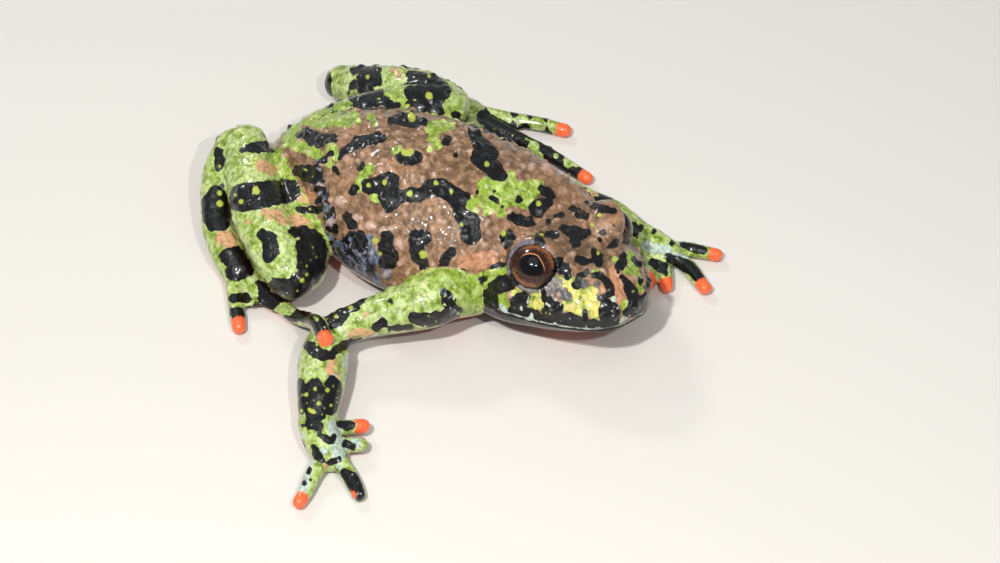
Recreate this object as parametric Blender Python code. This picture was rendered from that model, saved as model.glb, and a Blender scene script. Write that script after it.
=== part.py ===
"""Fire-bellied toad, life size, sitting still: each part of the body is one closed solid.

Lengths in this file are millimetres and turn into metres where a mesh is made. The toad
faces -Y, its left side is +X and the floor is z = 0. Neighbouring solids keep a gap of
GAP between their faces, so that none overlaps another.
"""
import math
import random

import bmesh
import bpy
import numpy as np
from mathutils import Matrix, Vector

MM = 0.001
GAP = 0.3
SEED = 11

# Head pose: the point midway between the eyes, and the turn of the head in degrees.
HEAD_AT = (1.3, -18.2, 10.0)
HEAD_YAW = 18.0
HEAD_PITCH = 12.0
HEAD_ROLL = 6.0

# Eyes, in the head's own frame (x left, y back, z up, from HEAD_AT).
EYE_RADIUS = 2.7
EYE_SPREAD = 4.75
EYE_BACK = 0.95
EYE_LIFT = -0.6
EYE_GAZE = (0.58, -0.55, 0.6)
LID_RADIUS = 3.25
LID_OPENING = 2.3
CROWN = (-1.0, 0.25, 0.35)

# How far the upper lid hangs over each eye, -1 right and 1 left: the left eye is half shut.
LID_DROOP = {-1: 0.05, 1: 0.45}

# Mouth and nostrils, in the head's own frame.
MOUTH_LEVEL = -4.9
MOUTH_CORNER = 5.6
LIP_RADIUS = 0.32
NOSTRIL_AT = (1.65, -5.7, -1.35)
NOSTRIL_MOUND = 0.75
NOSTRIL_SINK = 0.35
NOSTRIL_PIT = 0.32
PIT_OFFSET = (0.45, -0.3, 0.1)

# Place of the joint between torso and head along the body, as a station number.
NECK_STATION = 7.6

# Roundness of the body's cross-section above and below its widest level; 2 is an ellipse.
TOP_POWER = 2.2
UNDER_POWER = 2.5

BODY_SIDES = 34
TORSO_RINGS = 24
HEAD_RINGS = 19

# Tubercles of the back: how many on torso and head, their sizes and least spacing.
TORSO_TUBERCLES = 46
HEAD_TUBERCLES = 10
TUBERCLE_SIZES = (0.55, 0.85)
TUBERCLE_SPACING = 2.3
TUBERCLE_SINK = 0.45
TUBERCLE_EYE_CLEARANCE = 1.2
TUBERCLE_TRIES = 4000

# Webs between the toes: thickness, share of the toe that they reach, and draw of the edge.
WEB_THICKNESS = 0.5
WEB_REACH = 0.55
WEB_DRAW = 0.35
WEB_DROP = 0.1

# Blocks that cut the floor's flats, and the jaw from the head.
FLOOR_BLOCK = (160.0, 160.0, 20.0)
JAW_BLOCK_WIDTH = 30.0
JAW_BLOCK_REACH = 14.0

# One row per cross-section of the torso, rear to neck:
# x, y, z of its widest level, half width, height above, depth below, yaw, pitch, roll.
TORSO_STATIONS = (
    (1.4, 18.6, 5.6, 1.2, 1.0, 1.2, 0, 0, 0),
    (1.4, 17.6, 5.4, 3.0, 2.5, 3.0, 0, 0, 0),
    (1.4, 15.0, 5.4, 5.0, 4.4, 4.6, 0, 0, 0),
    (1.3, 11.2, 5.6, 6.9, 6.5, 5.5, 0, 0, 0),
    (1.1, 6.5, 5.7, 8.9, 8.2, 5.9, 0, 0, 0),
    (1.0, 1.2, 5.9, 10.2, 8.7, 6.0, 0, 0, 0),
    (1.2, -4.0, 6.2, 10.3, 8.0, 5.9, 2, 1, 1),
    (1.8, -8.4, 6.6, 9.5, 6.6, 5.4, 7, 4, 2),
    (2.2, -11.6, 6.0, 8.9, 6.3, 4.6, 13, 8, 4),
)

# The same for the head, in its own frame: distance ahead of the eyes, level of the
# widest point, half width, height above, depth below.
HEAD_STATIONS = (
    (-5.0, -5.2, 8.9, 7.1, 2.9),
    (-2.5, -5.2, 8.5, 6.7, 2.7),
    (0.0, -4.8, 7.6, 5.9, 2.8),
    (2.5, -4.5, 6.6, 5.0, 2.6),
    (4.8, -4.2, 5.3, 3.6, 2.4),
    (6.5, -4.0, 4.1, 2.5, 2.0),
    (7.6, -3.9, 2.8, 1.7, 1.5),
    (8.3, -3.9, 1.0, 0.7, 0.6),
)

# Swelling behind each eye, in the head's own frame: rows of x outwards, y, z, radius.
GLAND = (
    (6.3, 3.8, -1.4, 1.1),
    (6.9, 4.9, -1.7, 1.45),
    (7.2, 6.1, -2.0, 1.1),
)

# Limbs: rows of x, y, z, radius from the body outwards.
UPPER_ARM_RIGHT = (
    (-5.0, -9.4, 4.6, 2.8),
    (-7.4, -8.0, 5.6, 3.0),
    (-9.6, -7.1, 5.7, 2.85),
    (-11.9, -4.9, 5.1, 2.35),
    (-14.4, -2.2, 4.4, 1.95),
    (-16.9, -0.2, 3.5, 1.9),
)
FOREARM_RIGHT = (
    (-17.0, -0.2, 3.3, 2.0),
    (-19.2, -0.9, 3.1, 2.45),
    (-22.0, -2.4, 3.0, 2.5),
    (-24.6, -3.8, 2.6, 2.2),
    (-26.6, -5.0, 2.1, 1.85),
)
HAND_RIGHT = {
    "palm": ((-26.7, -4.8, 2.1, 1.8), (-27.9, -6.3, 1.8, 1.9), (-28.9, -8.0, 1.3, 1.65)),
    "finger_1": ((-26.6, -6.2, 1.7, 0.9), (-25.3, -7.4, 1.6, 0.8), (-24.1, -8.7, 1.5, 0.75)),
    "finger_2": ((-28.0, -7.2, 1.5, 0.9), (-27.1, -8.6, 1.5, 0.8), (-26.1, -9.8, 1.3, 0.75)),
    "finger_3": ((-28.6, -8.2, 1.3, 0.95), (-29.6, -10.4, 1.1, 0.85), (-30.5, -12.0, 0.85, 0.8),
                 (-31.2, -12.9, 0.8, 0.7)),
    "finger_4": ((-29.0, -7.6, 1.3, 0.95), (-31.4, -7.8, 1.1, 0.85), (-33.6, -8.3, 0.9, 0.75),
                 (-35.1, -8.5, 0.8, 0.7)),
}
UPPER_ARM_LEFT = (
    (7.0, -6.0, 6.6, 2.5),
    (10.2, -8.0, 5.2, 2.3),
    (11.9, -10.6, 4.0, 2.0),
    (13.0, -13.0, 2.9, 1.8),
)
FOREARM_LEFT = (
    (13.1, -13.2, 2.8, 1.8),
    (13.2, -15.2, 2.5, 1.95),
    (13.0, -17.4, 2.2, 1.8),
    (12.8, -19.4, 1.9, 1.55),
)
HAND_LEFT = {
    "palm": ((12.8, -19.4, 2.0, 1.6), (12.8, -21.0, 1.6, 1.7), (13.0, -22.6, 1.2, 1.5)),
    "finger_1": ((12.0, -20.6, 1.3, 0.85), (10.1, -22.0, 1.1, 0.8), (8.4, -22.8, 0.8, 0.7)),
    "finger_2": ((12.4, -21.6, 1.2, 0.85), (10.8, -23.3, 1.0, 0.8), (9.1, -24.6, 0.8, 0.7)),
    "finger_3": ((12.9, -22.4, 1.2, 0.9), (12.6, -25.0, 1.0, 0.85), (11.0, -28.1, 0.8, 0.7)),
    "finger_4": ((13.4, -22.0, 1.2, 0.9), (14.8, -24.2, 1.0, 0.8), (15.8, -26.8, 0.8, 0.7)),
}
THIGH_RIGHT = (
    (-0.4, 14.7, 5.4, 3.4),
    (-3.4, 12.5, 5.2, 3.3),
    (-7.4, 9.7, 4.8, 3.1),
    (-11.7, 7.2, 4.5, 2.75),
)
SHANK_RIGHT = (
    (-13.3, 7.1, 4.9, 2.55),
    (-12.2, 9.4, 5.8, 2.85),
    (-9.1, 13.6, 6.3, 3.05),
    (-5.4, 17.5, 6.7, 2.75),
    (-1.9, 20.6, 6.9, 2.3),
)
TARSUS_RIGHT = (
    (-2.2, 22.2, 6.4, 1.8),
    (-5.2, 22.0, 5.0, 1.7),
    (-8.2, 20.4, 3.7, 1.6),
    (-10.6, 18.5, 2.6, 1.6),
)
FOOT_RIGHT = {
    "sole": ((-10.5, 18.4, 2.6, 1.7), (-11.9, 16.4, 2.1, 1.85), (-13.2, 14.2, 1.4, 1.75)),
    "toe_1": ((-10.8, 15.8, 1.2, 0.8), (-10.4, 13.0, 0.9, 0.7), (-9.8, 10.8, 0.8, 0.65)),
    "toe_2": ((-11.6, 15.2, 1.2, 0.8), (-11.4, 11.4, 0.9, 0.7), (-10.8, 8.0, 0.8, 0.65)),
    "toe_3": ((-12.4, 14.8, 1.2, 0.85), (-12.8, 11.8, 0.95, 0.8), (-12.9, 9.0, 0.85, 0.7)),
    "toe_4": ((-13.0, 14.2, 1.3, 0.95), (-14.0, 9.8, 1.0, 0.85), (-15.2, 5.8, 1.3, 0.8),
              (-16.2, 3.0, 3.0, 0.8), (-17.8, 0.8, 5.3, 0.8), (-19.7, -1.5, 6.0, 0.7)),
    "toe_5": ((-13.4, 14.6, 1.3, 0.9), (-15.6, 13.0, 1.1, 0.85), (-17.6, 11.3, 0.9, 0.8),
              (-19.2, 9.9, 0.8, 0.75)),
}
THIGH_LEFT = (
    (3.4, 14.4, 6.0, 3.5),
    (7.2, 11.6, 6.9, 3.5),
    (10.6, 8.4, 7.6, 3.1),
    (13.2, 5.4, 7.9, 2.5),
)
SHANK_LEFT = (
    (13.8, 5.4, 7.6, 2.4),
    (14.3, 8.6, 6.9, 2.75),
    (14.3, 12.4, 5.9, 2.7),
    (14.4, 16.4, 4.4, 2.3),
    (14.7, 19.8, 3.0, 1.9),
)
TARSUS_LEFT = (
    (15.2, 20.0, 3.0, 1.7),
    (17.0, 17.4, 2.6, 1.5),
    (18.2, 14.0, 2.2, 1.45),
    (18.8, 11.0, 1.9, 1.45),
)
FOOT_LEFT = {
    "sole": ((18.8, 11.0, 1.8, 1.4), (19.2, 8.6, 1.6, 1.6), (19.5, 6.2, 1.3, 1.7)),
    "toe_1": ((18.4, 8.0, 1.2, 0.8), (16.8, 5.4, 0.9, 0.7), (15.6, 3.4, 0.8, 0.65)),
    "toe_2": ((18.8, 7.2, 1.2, 0.8), (17.2, 3.4, 0.9, 0.7), (15.8, 0.4, 0.8, 0.65)),
    "toe_3": ((19.2, 6.6, 1.2, 0.85), (17.9, 1.6, 0.9, 0.75), (16.4, -3.4, 0.8, 0.65)),
    "toe_4": ((19.5, 6.2, 1.3, 0.95), (19.4, 1.0, 1.0, 0.85), (19.0, -4.6, 0.9, 0.8),
              (18.3, -9.4, 0.8, 0.7)),
    "toe_5": ((19.9, 6.6, 1.3, 0.9), (21.3, 2.8, 1.0, 0.85), (22.6, -0.8, 0.9, 0.8),
              (23.3, -3.6, 0.8, 0.75)),
}

# Colour and roughness of each kind of skin, and of the eyes.
FINISHES = {
    "head": ((0.33, 0.19, 0.12), 0.35),
    "lower_jaw": ((0.42, 0.12, 0.04), 0.35),
    "torso": ((0.36, 0.21, 0.14), 0.35),
    "eye": ((0.04, 0.015, 0.008), 0.06),
    "upper_arm": ((0.34, 0.52, 0.16), 0.32),
    "forearm": ((0.12, 0.16, 0.05), 0.32),
    "hand": ((0.22, 0.30, 0.14), 0.35),
    "thigh": ((0.22, 0.20, 0.08), 0.32),
    "shank": ((0.28, 0.42, 0.12), 0.32),
    "tarsus": ((0.16, 0.24, 0.07), 0.32),
    "foot": ((0.05, 0.06, 0.03), 0.35),
}


def clear_scene():
    """Take every object out of the scene."""
    for item in list(bpy.data.objects):
        bpy.data.objects.remove(item, do_unlink=True)


def make_material(name, colour, roughness, metallic=0.0):
    """Return a material of one colour."""
    made = bpy.data.materials.new(name)
    made.use_nodes = True
    shader = made.node_tree.nodes["Principled BSDF"]
    shader.inputs["Base Color"].default_value = (*colour, 1.0)
    shader.inputs["Roughness"].default_value = roughness
    shader.inputs["Metallic"].default_value = metallic
    made.diffuse_color = (*colour, 1.0)
    return made


def rotation(yaw, pitch, roll):
    """Matrix that turns a frame by yaw to the right, pitch nose up and roll left side down."""
    turn = Matrix.Rotation(math.radians(-yaw), 3, "Z")
    lift = Matrix.Rotation(math.radians(-pitch), 3, "X")
    lean = Matrix.Rotation(math.radians(roll), 3, "Y")
    return turn @ lift @ lean


def head_point(x, y, z):
    """Place in the world of a point in the head's own frame."""
    return Vector(HEAD_AT) + rotation(HEAD_YAW, HEAD_PITCH, HEAD_ROLL) @ Vector((x, y, z))


def curve_at(rows, step):
    """Row of numbers on the Catmull-Rom curve through rows, at a step counted in rows."""
    rows = np.asarray(rows, dtype=float)
    padded = np.vstack([2 * rows[0] - rows[1], rows, 2 * rows[-1] - rows[-2]])
    index = min(int(step), len(rows) - 2)
    t = step - index
    a, b, c, d = padded[index:index + 4]
    curve = 2 * b + (c - a) * t + (2 * a - 5 * b + 4 * c - d) * t * t
    return (curve + (3 * b - a - 3 * c + d) * t ** 3) / 2


def smooth_rows(rows, count):
    """The same curve at count even steps."""
    return np.array([curve_at(rows, step) for step in np.linspace(0, len(rows) - 1, count)])


def mesh_object(name, bm):
    """Turn a bmesh in millimetres into an object in metres."""
    bmesh.ops.scale(bm, vec=(MM, MM, MM), verts=bm.verts)
    bmesh.ops.recalc_face_normals(bm, faces=bm.faces)
    mesh = bpy.data.meshes.new(name)
    bm.to_mesh(mesh)
    bm.free()
    item = bpy.data.objects.new(name, mesh)
    bpy.context.scene.collection.objects.link(item)
    return item


def skin_rings(name, rings, start, end):
    """Join rings of points into one closed surface with a point at each end."""
    bm = bmesh.new()
    rows = [[bm.verts.new(point) for point in ring] for ring in rings]
    first = bm.verts.new(start)
    last = bm.verts.new(end)
    sides = len(rings[0])
    for index in range(sides):
        after = (index + 1) % sides
        bm.faces.new((first, rows[0][after], rows[0][index]))
        bm.faces.new((last, rows[-1][index], rows[-1][after]))
        for low, high in zip(rows[:-1], rows[1:]):
            bm.faces.new((low[index], low[after], high[after], high[index]))
    return mesh_object(name, bm)


def tube(name, rows, sides=12, steps=9, grow=0.0, cap_rings=3):
    """Limb of round section along a smooth path, with a rounded end at each side."""
    path = smooth_rows(rows, steps)
    centres = [Vector(row[:3]) for row in path]
    radii = [row[3] + grow for row in path]
    tangents = []
    for index in range(steps):
        ahead = centres[min(index + 1, steps - 1)]
        behind = centres[max(index - 1, 0)]
        tangents.append((ahead - behind).normalized())
    side = tangents[0].cross(Vector((0, 0, 1))).normalized()
    rings = []
    for index, (centre, tangent) in enumerate(zip(centres, tangents)):
        side = (side - tangent * side.dot(tangent)).normalized()
        other = tangent.cross(side)
        lifts = [(0.0, 1.0)]
        if index == 0:
            angles = [math.pi / 2 * k / cap_rings for k in range(cap_rings - 1, -1, -1)]
            lifts = [(-math.sin(angle), math.cos(angle)) for angle in angles]
        if index == steps - 1:
            angles = [math.pi / 2 * k / cap_rings for k in range(cap_rings)]
            lifts = [(math.sin(angle), math.cos(angle)) for angle in angles]
        for along, across in lifts:
            ring = []
            for k in range(sides):
                angle = 2 * math.pi * k / sides
                spoke = side * math.cos(angle) + other * math.sin(angle)
                ring.append(centre + tangent * along * radii[index] + spoke * across * radii[index])
            rings.append(ring)
    start = centres[0] - tangents[0] * radii[0]
    end = centres[-1] + tangents[-1] * radii[-1]
    return skin_rings(name, rings, start, end)


def body_stations():
    """Rows of x, y, z, half width, height, depth, yaw, pitch, roll from rear to snout."""
    rows = [list(row) for row in TORSO_STATIONS]
    for ahead, level, half_width, height, depth in HEAD_STATIONS:
        centre = head_point(0, -ahead, level)
        pose = (HEAD_YAW, HEAD_PITCH, HEAD_ROLL)
        rows.append([*centre, half_width, height, depth, *pose])
    return rows


def section_point(row, angle, grow=0.0):
    """Point of one cross-section of the body, a rounded box, at an angle from its left side."""
    half_width, height, depth = (value + grow for value in row[3:6])
    across = math.cos(angle)
    along = math.sin(angle)
    power = TOP_POWER if along > 0 else UNDER_POWER
    x = math.copysign(abs(across) ** (2 / power), across) * half_width
    z = math.copysign(abs(along) ** (2 / power), along) * (height if along > 0 else depth)
    return Vector(row[:3]) + rotation(*row[6:9]) @ Vector((x, 0, z))


def section(row, sides, grow=0.0):
    """All points of one cross-section."""
    return [section_point(row, 2 * math.pi * k / sides, grow) for k in range(sides)]


def body_part(name, start, end, rings, grow=0.0):
    """Piece of the body between two station numbers, closed by a face at each end."""
    rows = body_stations()
    dense = smooth_rows(rows, 40 * (len(rows) - 1) + 1)
    picks = [dense[int(round(40 * value))] for value in np.linspace(start, end, rings)]
    loops = [section(row, BODY_SIDES, grow) for row in picks]
    first = Vector(picks[0][:3])
    last = Vector(picks[-1][:3])
    if start == 0:
        first = first + Vector((0, 0.5 + grow, 0))
    if end >= len(rows) - 1:
        last = last + rotation(*picks[-1][6:9]) @ Vector((0, -0.25 - grow, 0))
    return skin_rings(name, loops, first, last)


def near_limb(point, distance):
    """Whether a place on the body is closer than distance to the root of a limb."""
    for limb in (UPPER_ARM_RIGHT, UPPER_ARM_LEFT, THIGH_RIGHT, THIGH_LEFT):
        for row in smooth_rows(limb, 12):
            if (point - Vector(row[:3])).length < row[3] + distance:
                return True
    return False


def tubercles(count, first, last, low_angle, high_angle):
    """Small domes, sunk in the body's surface between two stations and two angles."""
    rows = body_stations()
    places = []
    domes = []
    for _ in range(TUBERCLE_TRIES):
        if len(domes) == count:
            break
        row = curve_at(rows, random.uniform(first, last))
        angle = math.radians(random.uniform(low_angle, high_angle))
        size = random.uniform(*TUBERCLE_SIZES)
        point = section_point(row, angle)
        if any((point - place).length < TUBERCLE_SPACING for place in places):
            continue
        if any((point - eye_centre(side)).length < LID_RADIUS + TUBERCLE_EYE_CLEARANCE for side in (-1, 1)):
            continue
        if near_limb(point, size + GAP):
            continue
        inside = (Vector(row[:3]) - point).normalized()
        places.append(point)
        domes.append(ball("tubercle", point + inside * size * TUBERCLE_SINK, size, 6, 4))
    return domes


def lip():
    """Bead that follows the line of the mouth round the snout, corner to corner."""
    rows = smooth_rows(HEAD_STATIONS, 80)
    edge = []
    for ahead, level, half_width, height, depth in rows:
        drop = (level - MOUTH_LEVEL) / (depth if level > MOUTH_LEVEL else height)
        if ahead < 0.4 - MOUTH_CORNER or abs(drop) >= 1:
            continue
        power = UNDER_POWER if level > MOUTH_LEVEL else TOP_POWER
        edge.append((half_width * (1 - abs(drop) ** power) ** (1 / power) - 0.06, -ahead))
    picks = [edge[int(round(k))] for k in np.linspace(0, len(edge) - 1, 7)]
    points = [(-x, y) for x, y in picks] + [(0.0, edge[-1][1] - 0.3)] + [(x, y) for x, y in picks[::-1]]
    rows = [(*head_point(x, y, MOUTH_LEVEL), LIP_RADIUS) for x, y in points]
    return tube("lip", rows, sides=8, steps=25, cap_rings=2)


def gland(side):
    """Low swelling behind the eye on one side."""
    rows = [(*head_point(side * x, y, z), radius) for x, y, z, radius in GLAND]
    return tube("gland", rows, sides=12, steps=6)


def web(first, second):
    """Thin vane between two toes, its free edge drawn in between them, alike on both faces."""
    steps = 4
    across = 3
    bm = bmesh.new()
    layers = []
    for lift in (WEB_THICKNESS / 2, -WEB_THICKNESS / 2):
        grid = []
        for i in range(steps + 1):
            row = []
            for k in range(across + 1):
                share = k / across
                reach = WEB_REACH * (1 - WEB_DRAW * math.sin(math.pi * share)) * i / steps
                near = curve_at(first, reach * (len(first) - 1))
                far = curve_at(second, reach * (len(second) - 1))
                x, y, z = near[:3] * (1 - share) + far[:3] * share
                row.append(bm.verts.new((x, y, z - WEB_DROP + lift)))
            grid.append(row)
        layers.append(grid)
    top, under = layers
    for i in range(steps):
        for k in range(across):
            for grid in (top, under):
                a, b, c, d = grid[i][k], grid[i][k + 1], grid[i + 1][k + 1], grid[i + 1][k]
                bm.faces.new((a, b, c))
                bm.faces.new((a, c, d))
    rim = [(i, 0) for i in range(steps)] + [(steps, k) for k in range(across)]
    rim += [(i, across) for i in range(steps, 0, -1)] + [(0, k) for k in range(across, 0, -1)]
    for (i, k), (m, n) in zip(rim, rim[1:] + rim[:1]):
        bm.faces.new((top[i][k], top[m][n], under[m][n]))
        bm.faces.new((top[i][k], under[m][n], under[i][k]))
    return mesh_object("web", bm)


def ball(name, centre, radius, segments=16, rings=10):
    """Sphere with even bands."""
    bm = bmesh.new()
    bmesh.ops.create_uvsphere(bm, u_segments=segments, v_segments=rings, radius=radius)
    bmesh.ops.translate(bm, vec=centre, verts=bm.verts)
    return mesh_object(name, bm)


def rod(name, start, end, start_radius, end_radius, sides=24):
    """Straight cone or cylinder between two points."""
    start = Vector(start)
    end = Vector(end)
    axis = end - start
    bm = bmesh.new()
    bmesh.ops.create_cone(bm, cap_ends=True, segments=sides, radius1=start_radius,
                          radius2=end_radius, depth=axis.length)
    turn = axis.to_track_quat("Z", "Y").to_matrix()
    bmesh.ops.rotate(bm, cent=(0, 0, 0), matrix=turn, verts=bm.verts)
    bmesh.ops.translate(bm, vec=(start + end) / 2, verts=bm.verts)
    return mesh_object(name, bm)


def floor_block():
    """Block that lies under the floor, used to cut the small flats that the toad rests on."""
    bm = bmesh.new()
    bmesh.ops.create_cube(bm, size=1.0)
    bmesh.ops.scale(bm, vec=FLOOR_BLOCK, verts=bm.verts)
    bmesh.ops.translate(bm, vec=(0, 0, -FLOOR_BLOCK[2] / 2), verts=bm.verts)
    return mesh_object("floor_block", bm)


def combine(target, others, operation):
    """Join others to the target or cut them from it in one step, then remove them."""
    group = bpy.data.collections.new("tools")
    bpy.context.scene.collection.children.link(group)
    for item in others:
        bpy.context.scene.collection.objects.unlink(item)
        group.objects.link(item)
        item.hide_render = True
        item.display_type = "WIRE"
    step = target.modifiers.new("combine", "BOOLEAN")
    step.operand_type = "COLLECTION"
    step.collection = group
    step.operation = operation
    step.solver = "EXACT"
    step.use_self = True
    apply_modifiers(target)
    for item in others:
        bpy.data.objects.remove(item, do_unlink=True)
    bpy.data.collections.remove(group)
    return target


def apply_modifiers(item):
    """Replace the object's mesh by what its modifiers make of it."""
    graph = bpy.context.evaluated_depsgraph_get()
    made = bpy.data.meshes.new_from_object(item.evaluated_get(graph))
    old = item.data
    item.modifiers.clear()
    item.data = made
    made.name = item.name
    bpy.data.meshes.remove(old)


def shell_volume(faces):
    """Volume inside a closed set of faces."""
    total = 0.0
    for face in faces:
        corners = [vert.co for vert in face.verts]
        for second, third in zip(corners[1:-1], corners[2:]):
            total += corners[0].dot(second.cross(third))
    return total / 6


def drop_doubled_faces(bm):
    """Take out faces that lie back to back on the same corners."""
    groups = {}
    for face in bm.faces:
        corners = frozenset(vert.index for vert in face.verts)
        groups.setdefault(corners, []).append(face)
    doubled = [face for faces in groups.values() if len(faces) > 1 for face in faces]
    bmesh.ops.delete(bm, geom=doubled, context="FACES")


def keep_largest(item):
    """Keep only the largest closed surface of the object and weld its doubled points."""
    bm = bmesh.new()
    bm.from_mesh(item.data)
    bmesh.ops.remove_doubles(bm, verts=bm.verts, dist=0.00001)
    bmesh.ops.dissolve_degenerate(bm, dist=0.000005, edges=bm.edges)
    bmesh.ops.triangulate(bm, faces=bm.faces)
    drop_doubled_faces(bm)
    left = set(bm.faces)
    shells = []
    while left:
        stack = [left.pop()]
        shell = list(stack)
        while stack:
            face = stack.pop()
            for edge in face.edges:
                for near in edge.link_faces:
                    if near in left:
                        left.remove(near)
                        shell.append(near)
                        stack.append(near)
        shells.append(shell)
    shells.sort(key=lambda shell: -abs(shell_volume(shell)))
    for shell in shells[1:]:
        bmesh.ops.delete(bm, geom=shell, context="FACES")
    bm.to_mesh(item.data)
    bm.free()


def dress(item):
    """Give the object its own material and smooth shading."""
    kind = item.name.replace("_right", "").replace("_left", "")
    colour, roughness = FINISHES[kind]
    item.data.materials.clear()
    item.data.materials.append(make_material(item.name + "_finish", colour, roughness))
    item.data.shade_smooth()


def set_pivot(item, point):
    """Put the object's own origin on a point, such as its joint, without moving its shape."""
    place = Vector(point) * MM
    item.data.transform(Matrix.Translation(-place))
    item.location = place


def eye_centre(side):
    """Centre of the eyeball on one side, -1 right and +1 left."""
    return head_point(side * EYE_SPREAD, EYE_BACK, EYE_LIFT)


def gaze(side):
    """Direction in which the eye on one side looks."""
    look = rotation(HEAD_YAW, HEAD_PITCH, HEAD_ROLL) @ Vector((side * EYE_GAZE[0], *EYE_GAZE[1:]))
    return look.normalized()


def lid_direction(side):
    """Direction of the opening between the lids: the gaze, turned away from a drooping lid."""
    turn = rotation(HEAD_YAW, HEAD_PITCH, HEAD_ROLL)
    crown = (turn @ Vector((side * CROWN[0], *CROWN[1:]))).normalized()
    return (gaze(side) - crown * LID_DROOP[side]).normalized()


def head_solid(name):
    """Head with lid mounds, lips, glands and nostril mounds, before its jaw is cut off."""
    count = len(body_stations()) - 1
    head = body_part(name, NECK_STATION, count, HEAD_RINGS)
    mounds = [lip()]
    for side in (-1, 1):
        mounds.append(gland(side))
        mounds.append(ball("lid_mound", eye_centre(side), LID_RADIUS, 20, 14))
        at = Vector((side * NOSTRIL_AT[0], NOSTRIL_AT[1], NOSTRIL_AT[2] - NOSTRIL_SINK))
        mounds.append(ball("nostril_mound", head_point(*at), NOSTRIL_MOUND, 10, 8))
    return combine(head, mounds, "UNION")


def mouth_block(name, shift):
    """Block below the line of the mouth, in the head's frame, with its top moved by shift."""
    bm = bmesh.new()
    bmesh.ops.create_cube(bm, size=1.0)
    front = -JAW_BLOCK_REACH
    back = MOUTH_CORNER + shift
    top = MOUTH_LEVEL + shift
    low = -JAW_BLOCK_REACH
    size = Vector((JAW_BLOCK_WIDTH, back - front, top - low))
    centre = Vector((0, (front + back) / 2, (top + low) / 2))
    bmesh.ops.scale(bm, vec=size, verts=bm.verts)
    bmesh.ops.translate(bm, vec=centre, verts=bm.verts)
    turn = rotation(HEAD_YAW, HEAD_PITCH, HEAD_ROLL)
    bmesh.ops.rotate(bm, cent=(0, 0, 0), matrix=turn, verts=bm.verts)
    bmesh.ops.translate(bm, vec=HEAD_AT, verts=bm.verts)
    return mesh_object(name, bm)


def build_head():
    """Head and lower jaw, with eye sockets, lids and nostrils."""
    head = head_solid("head")
    count = len(body_stations()) - 1
    combine(head, tubercles(HEAD_TUBERCLES, NECK_STATION + 0.4, count - 2.5, 35, 145), "UNION")
    cuts = [mouth_block("mouth_cut", GAP / 2)]
    for side in (-1, 1):
        centre = eye_centre(side)
        look = lid_direction(side)
        cuts.append(ball("socket", centre, EYE_RADIUS + GAP, 20, 14))
        cuts.append(rod("lid_cut", centre, centre + look * 6, LID_OPENING * 0.8, LID_OPENING * 1.5))
        x, y, z = (at + step for at, step in zip(NOSTRIL_AT, PIT_OFFSET))
        pit = head_point(side * x, y, z)
        cuts.append(ball("nostril_pit", pit, NOSTRIL_PIT, 10, 8))
    combine(head, cuts, "DIFFERENCE")
    jaw = head_solid("lower_jaw")
    combine(jaw, [mouth_block("jaw_keep", -GAP / 2)], "INTERSECT")
    return head, jaw


def build_eyes():
    """Two eyeballs."""
    eyes = []
    for side, name in ((-1, "eye_right"), (1, "eye_left")):
        eyes.append(ball(name, eye_centre(side), EYE_RADIUS, 20, 14))
    return eyes


def build_torso():
    """Torso from the vent to the joint with the head."""
    torso = body_part("torso", 0, NECK_STATION - 0.1, TORSO_RINGS)
    return combine(torso, tubercles(TORSO_TUBERCLES, 1.6, NECK_STATION - 0.6, 15, 165), "UNION")


def digits(name, table, grow=0.0):
    """Palm or sole joined with its fingers or toes."""
    names = list(table)
    base = tube(name, table[names[0]], sides=16, steps=6, grow=grow)
    others = [tube(key, table[key], sides=9, steps=2 * len(table[key]), grow=grow, cap_rings=2)
              for key in names[1:]]
    if names[0] == "sole":
        others += [web(table[a], table[b]) for a, b in zip(names[1:-1], names[2:])]
    return combine(base, others, "UNION")


def trunk_cutter():
    """Torso and head as one body, grown by the gap, to trim the limbs where they join it."""
    count = len(body_stations()) - 1
    return body_part("trunk_cutter", 0, count, TORSO_RINGS + HEAD_RINGS, GAP)


def limb_cutter(rows, sides=12):
    """Limb segment grown by the gap, to trim what meets it."""
    return tube("limb_cutter", rows, sides=sides, grow=GAP)


def build_arm(side, upper, fore, hand):
    """Upper arm, forearm and hand of one side, each trimmed by its neighbours."""
    arm = tube("upper_arm_" + side, upper)
    combine(arm, [trunk_cutter()], "DIFFERENCE")
    forearm = tube("forearm_" + side, fore)
    combine(forearm, [limb_cutter(upper), trunk_cutter()], "DIFFERENCE")
    palm = digits("hand_" + side, hand)
    combine(palm, [limb_cutter(fore)], "DIFFERENCE")
    return [(arm, upper[0]), (forearm, fore[0]), (palm, hand["palm"][0])]


def build_leg(side, upper, lower, ankle, sole, obstacles):
    """Thigh, shank, tarsus and foot of one side; the foot is also cut clear of obstacles."""
    thigh = tube("thigh_" + side, upper, sides=16)
    combine(thigh, [limb_cutter(lower, 16), trunk_cutter()], "DIFFERENCE")
    shank = tube("shank_" + side, lower, sides=16)
    combine(shank, [trunk_cutter()], "DIFFERENCE")
    tarsus = tube("tarsus_" + side, ankle)
    combine(tarsus, [limb_cutter(upper, 16), limb_cutter(lower, 16), trunk_cutter()], "DIFFERENCE")
    foot = digits("foot_" + side, sole)
    cutters = [limb_cutter(rows, 16) for rows in (upper, lower)]
    cutters += [limb_cutter(rows) for rows in (ankle, *obstacles)]
    combine(foot, cutters + [trunk_cutter()], "DIFFERENCE")
    return [(thigh, upper[0]), (shank, lower[0]), (tarsus, ankle[0]), (foot, sole["sole"][0])]


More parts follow.
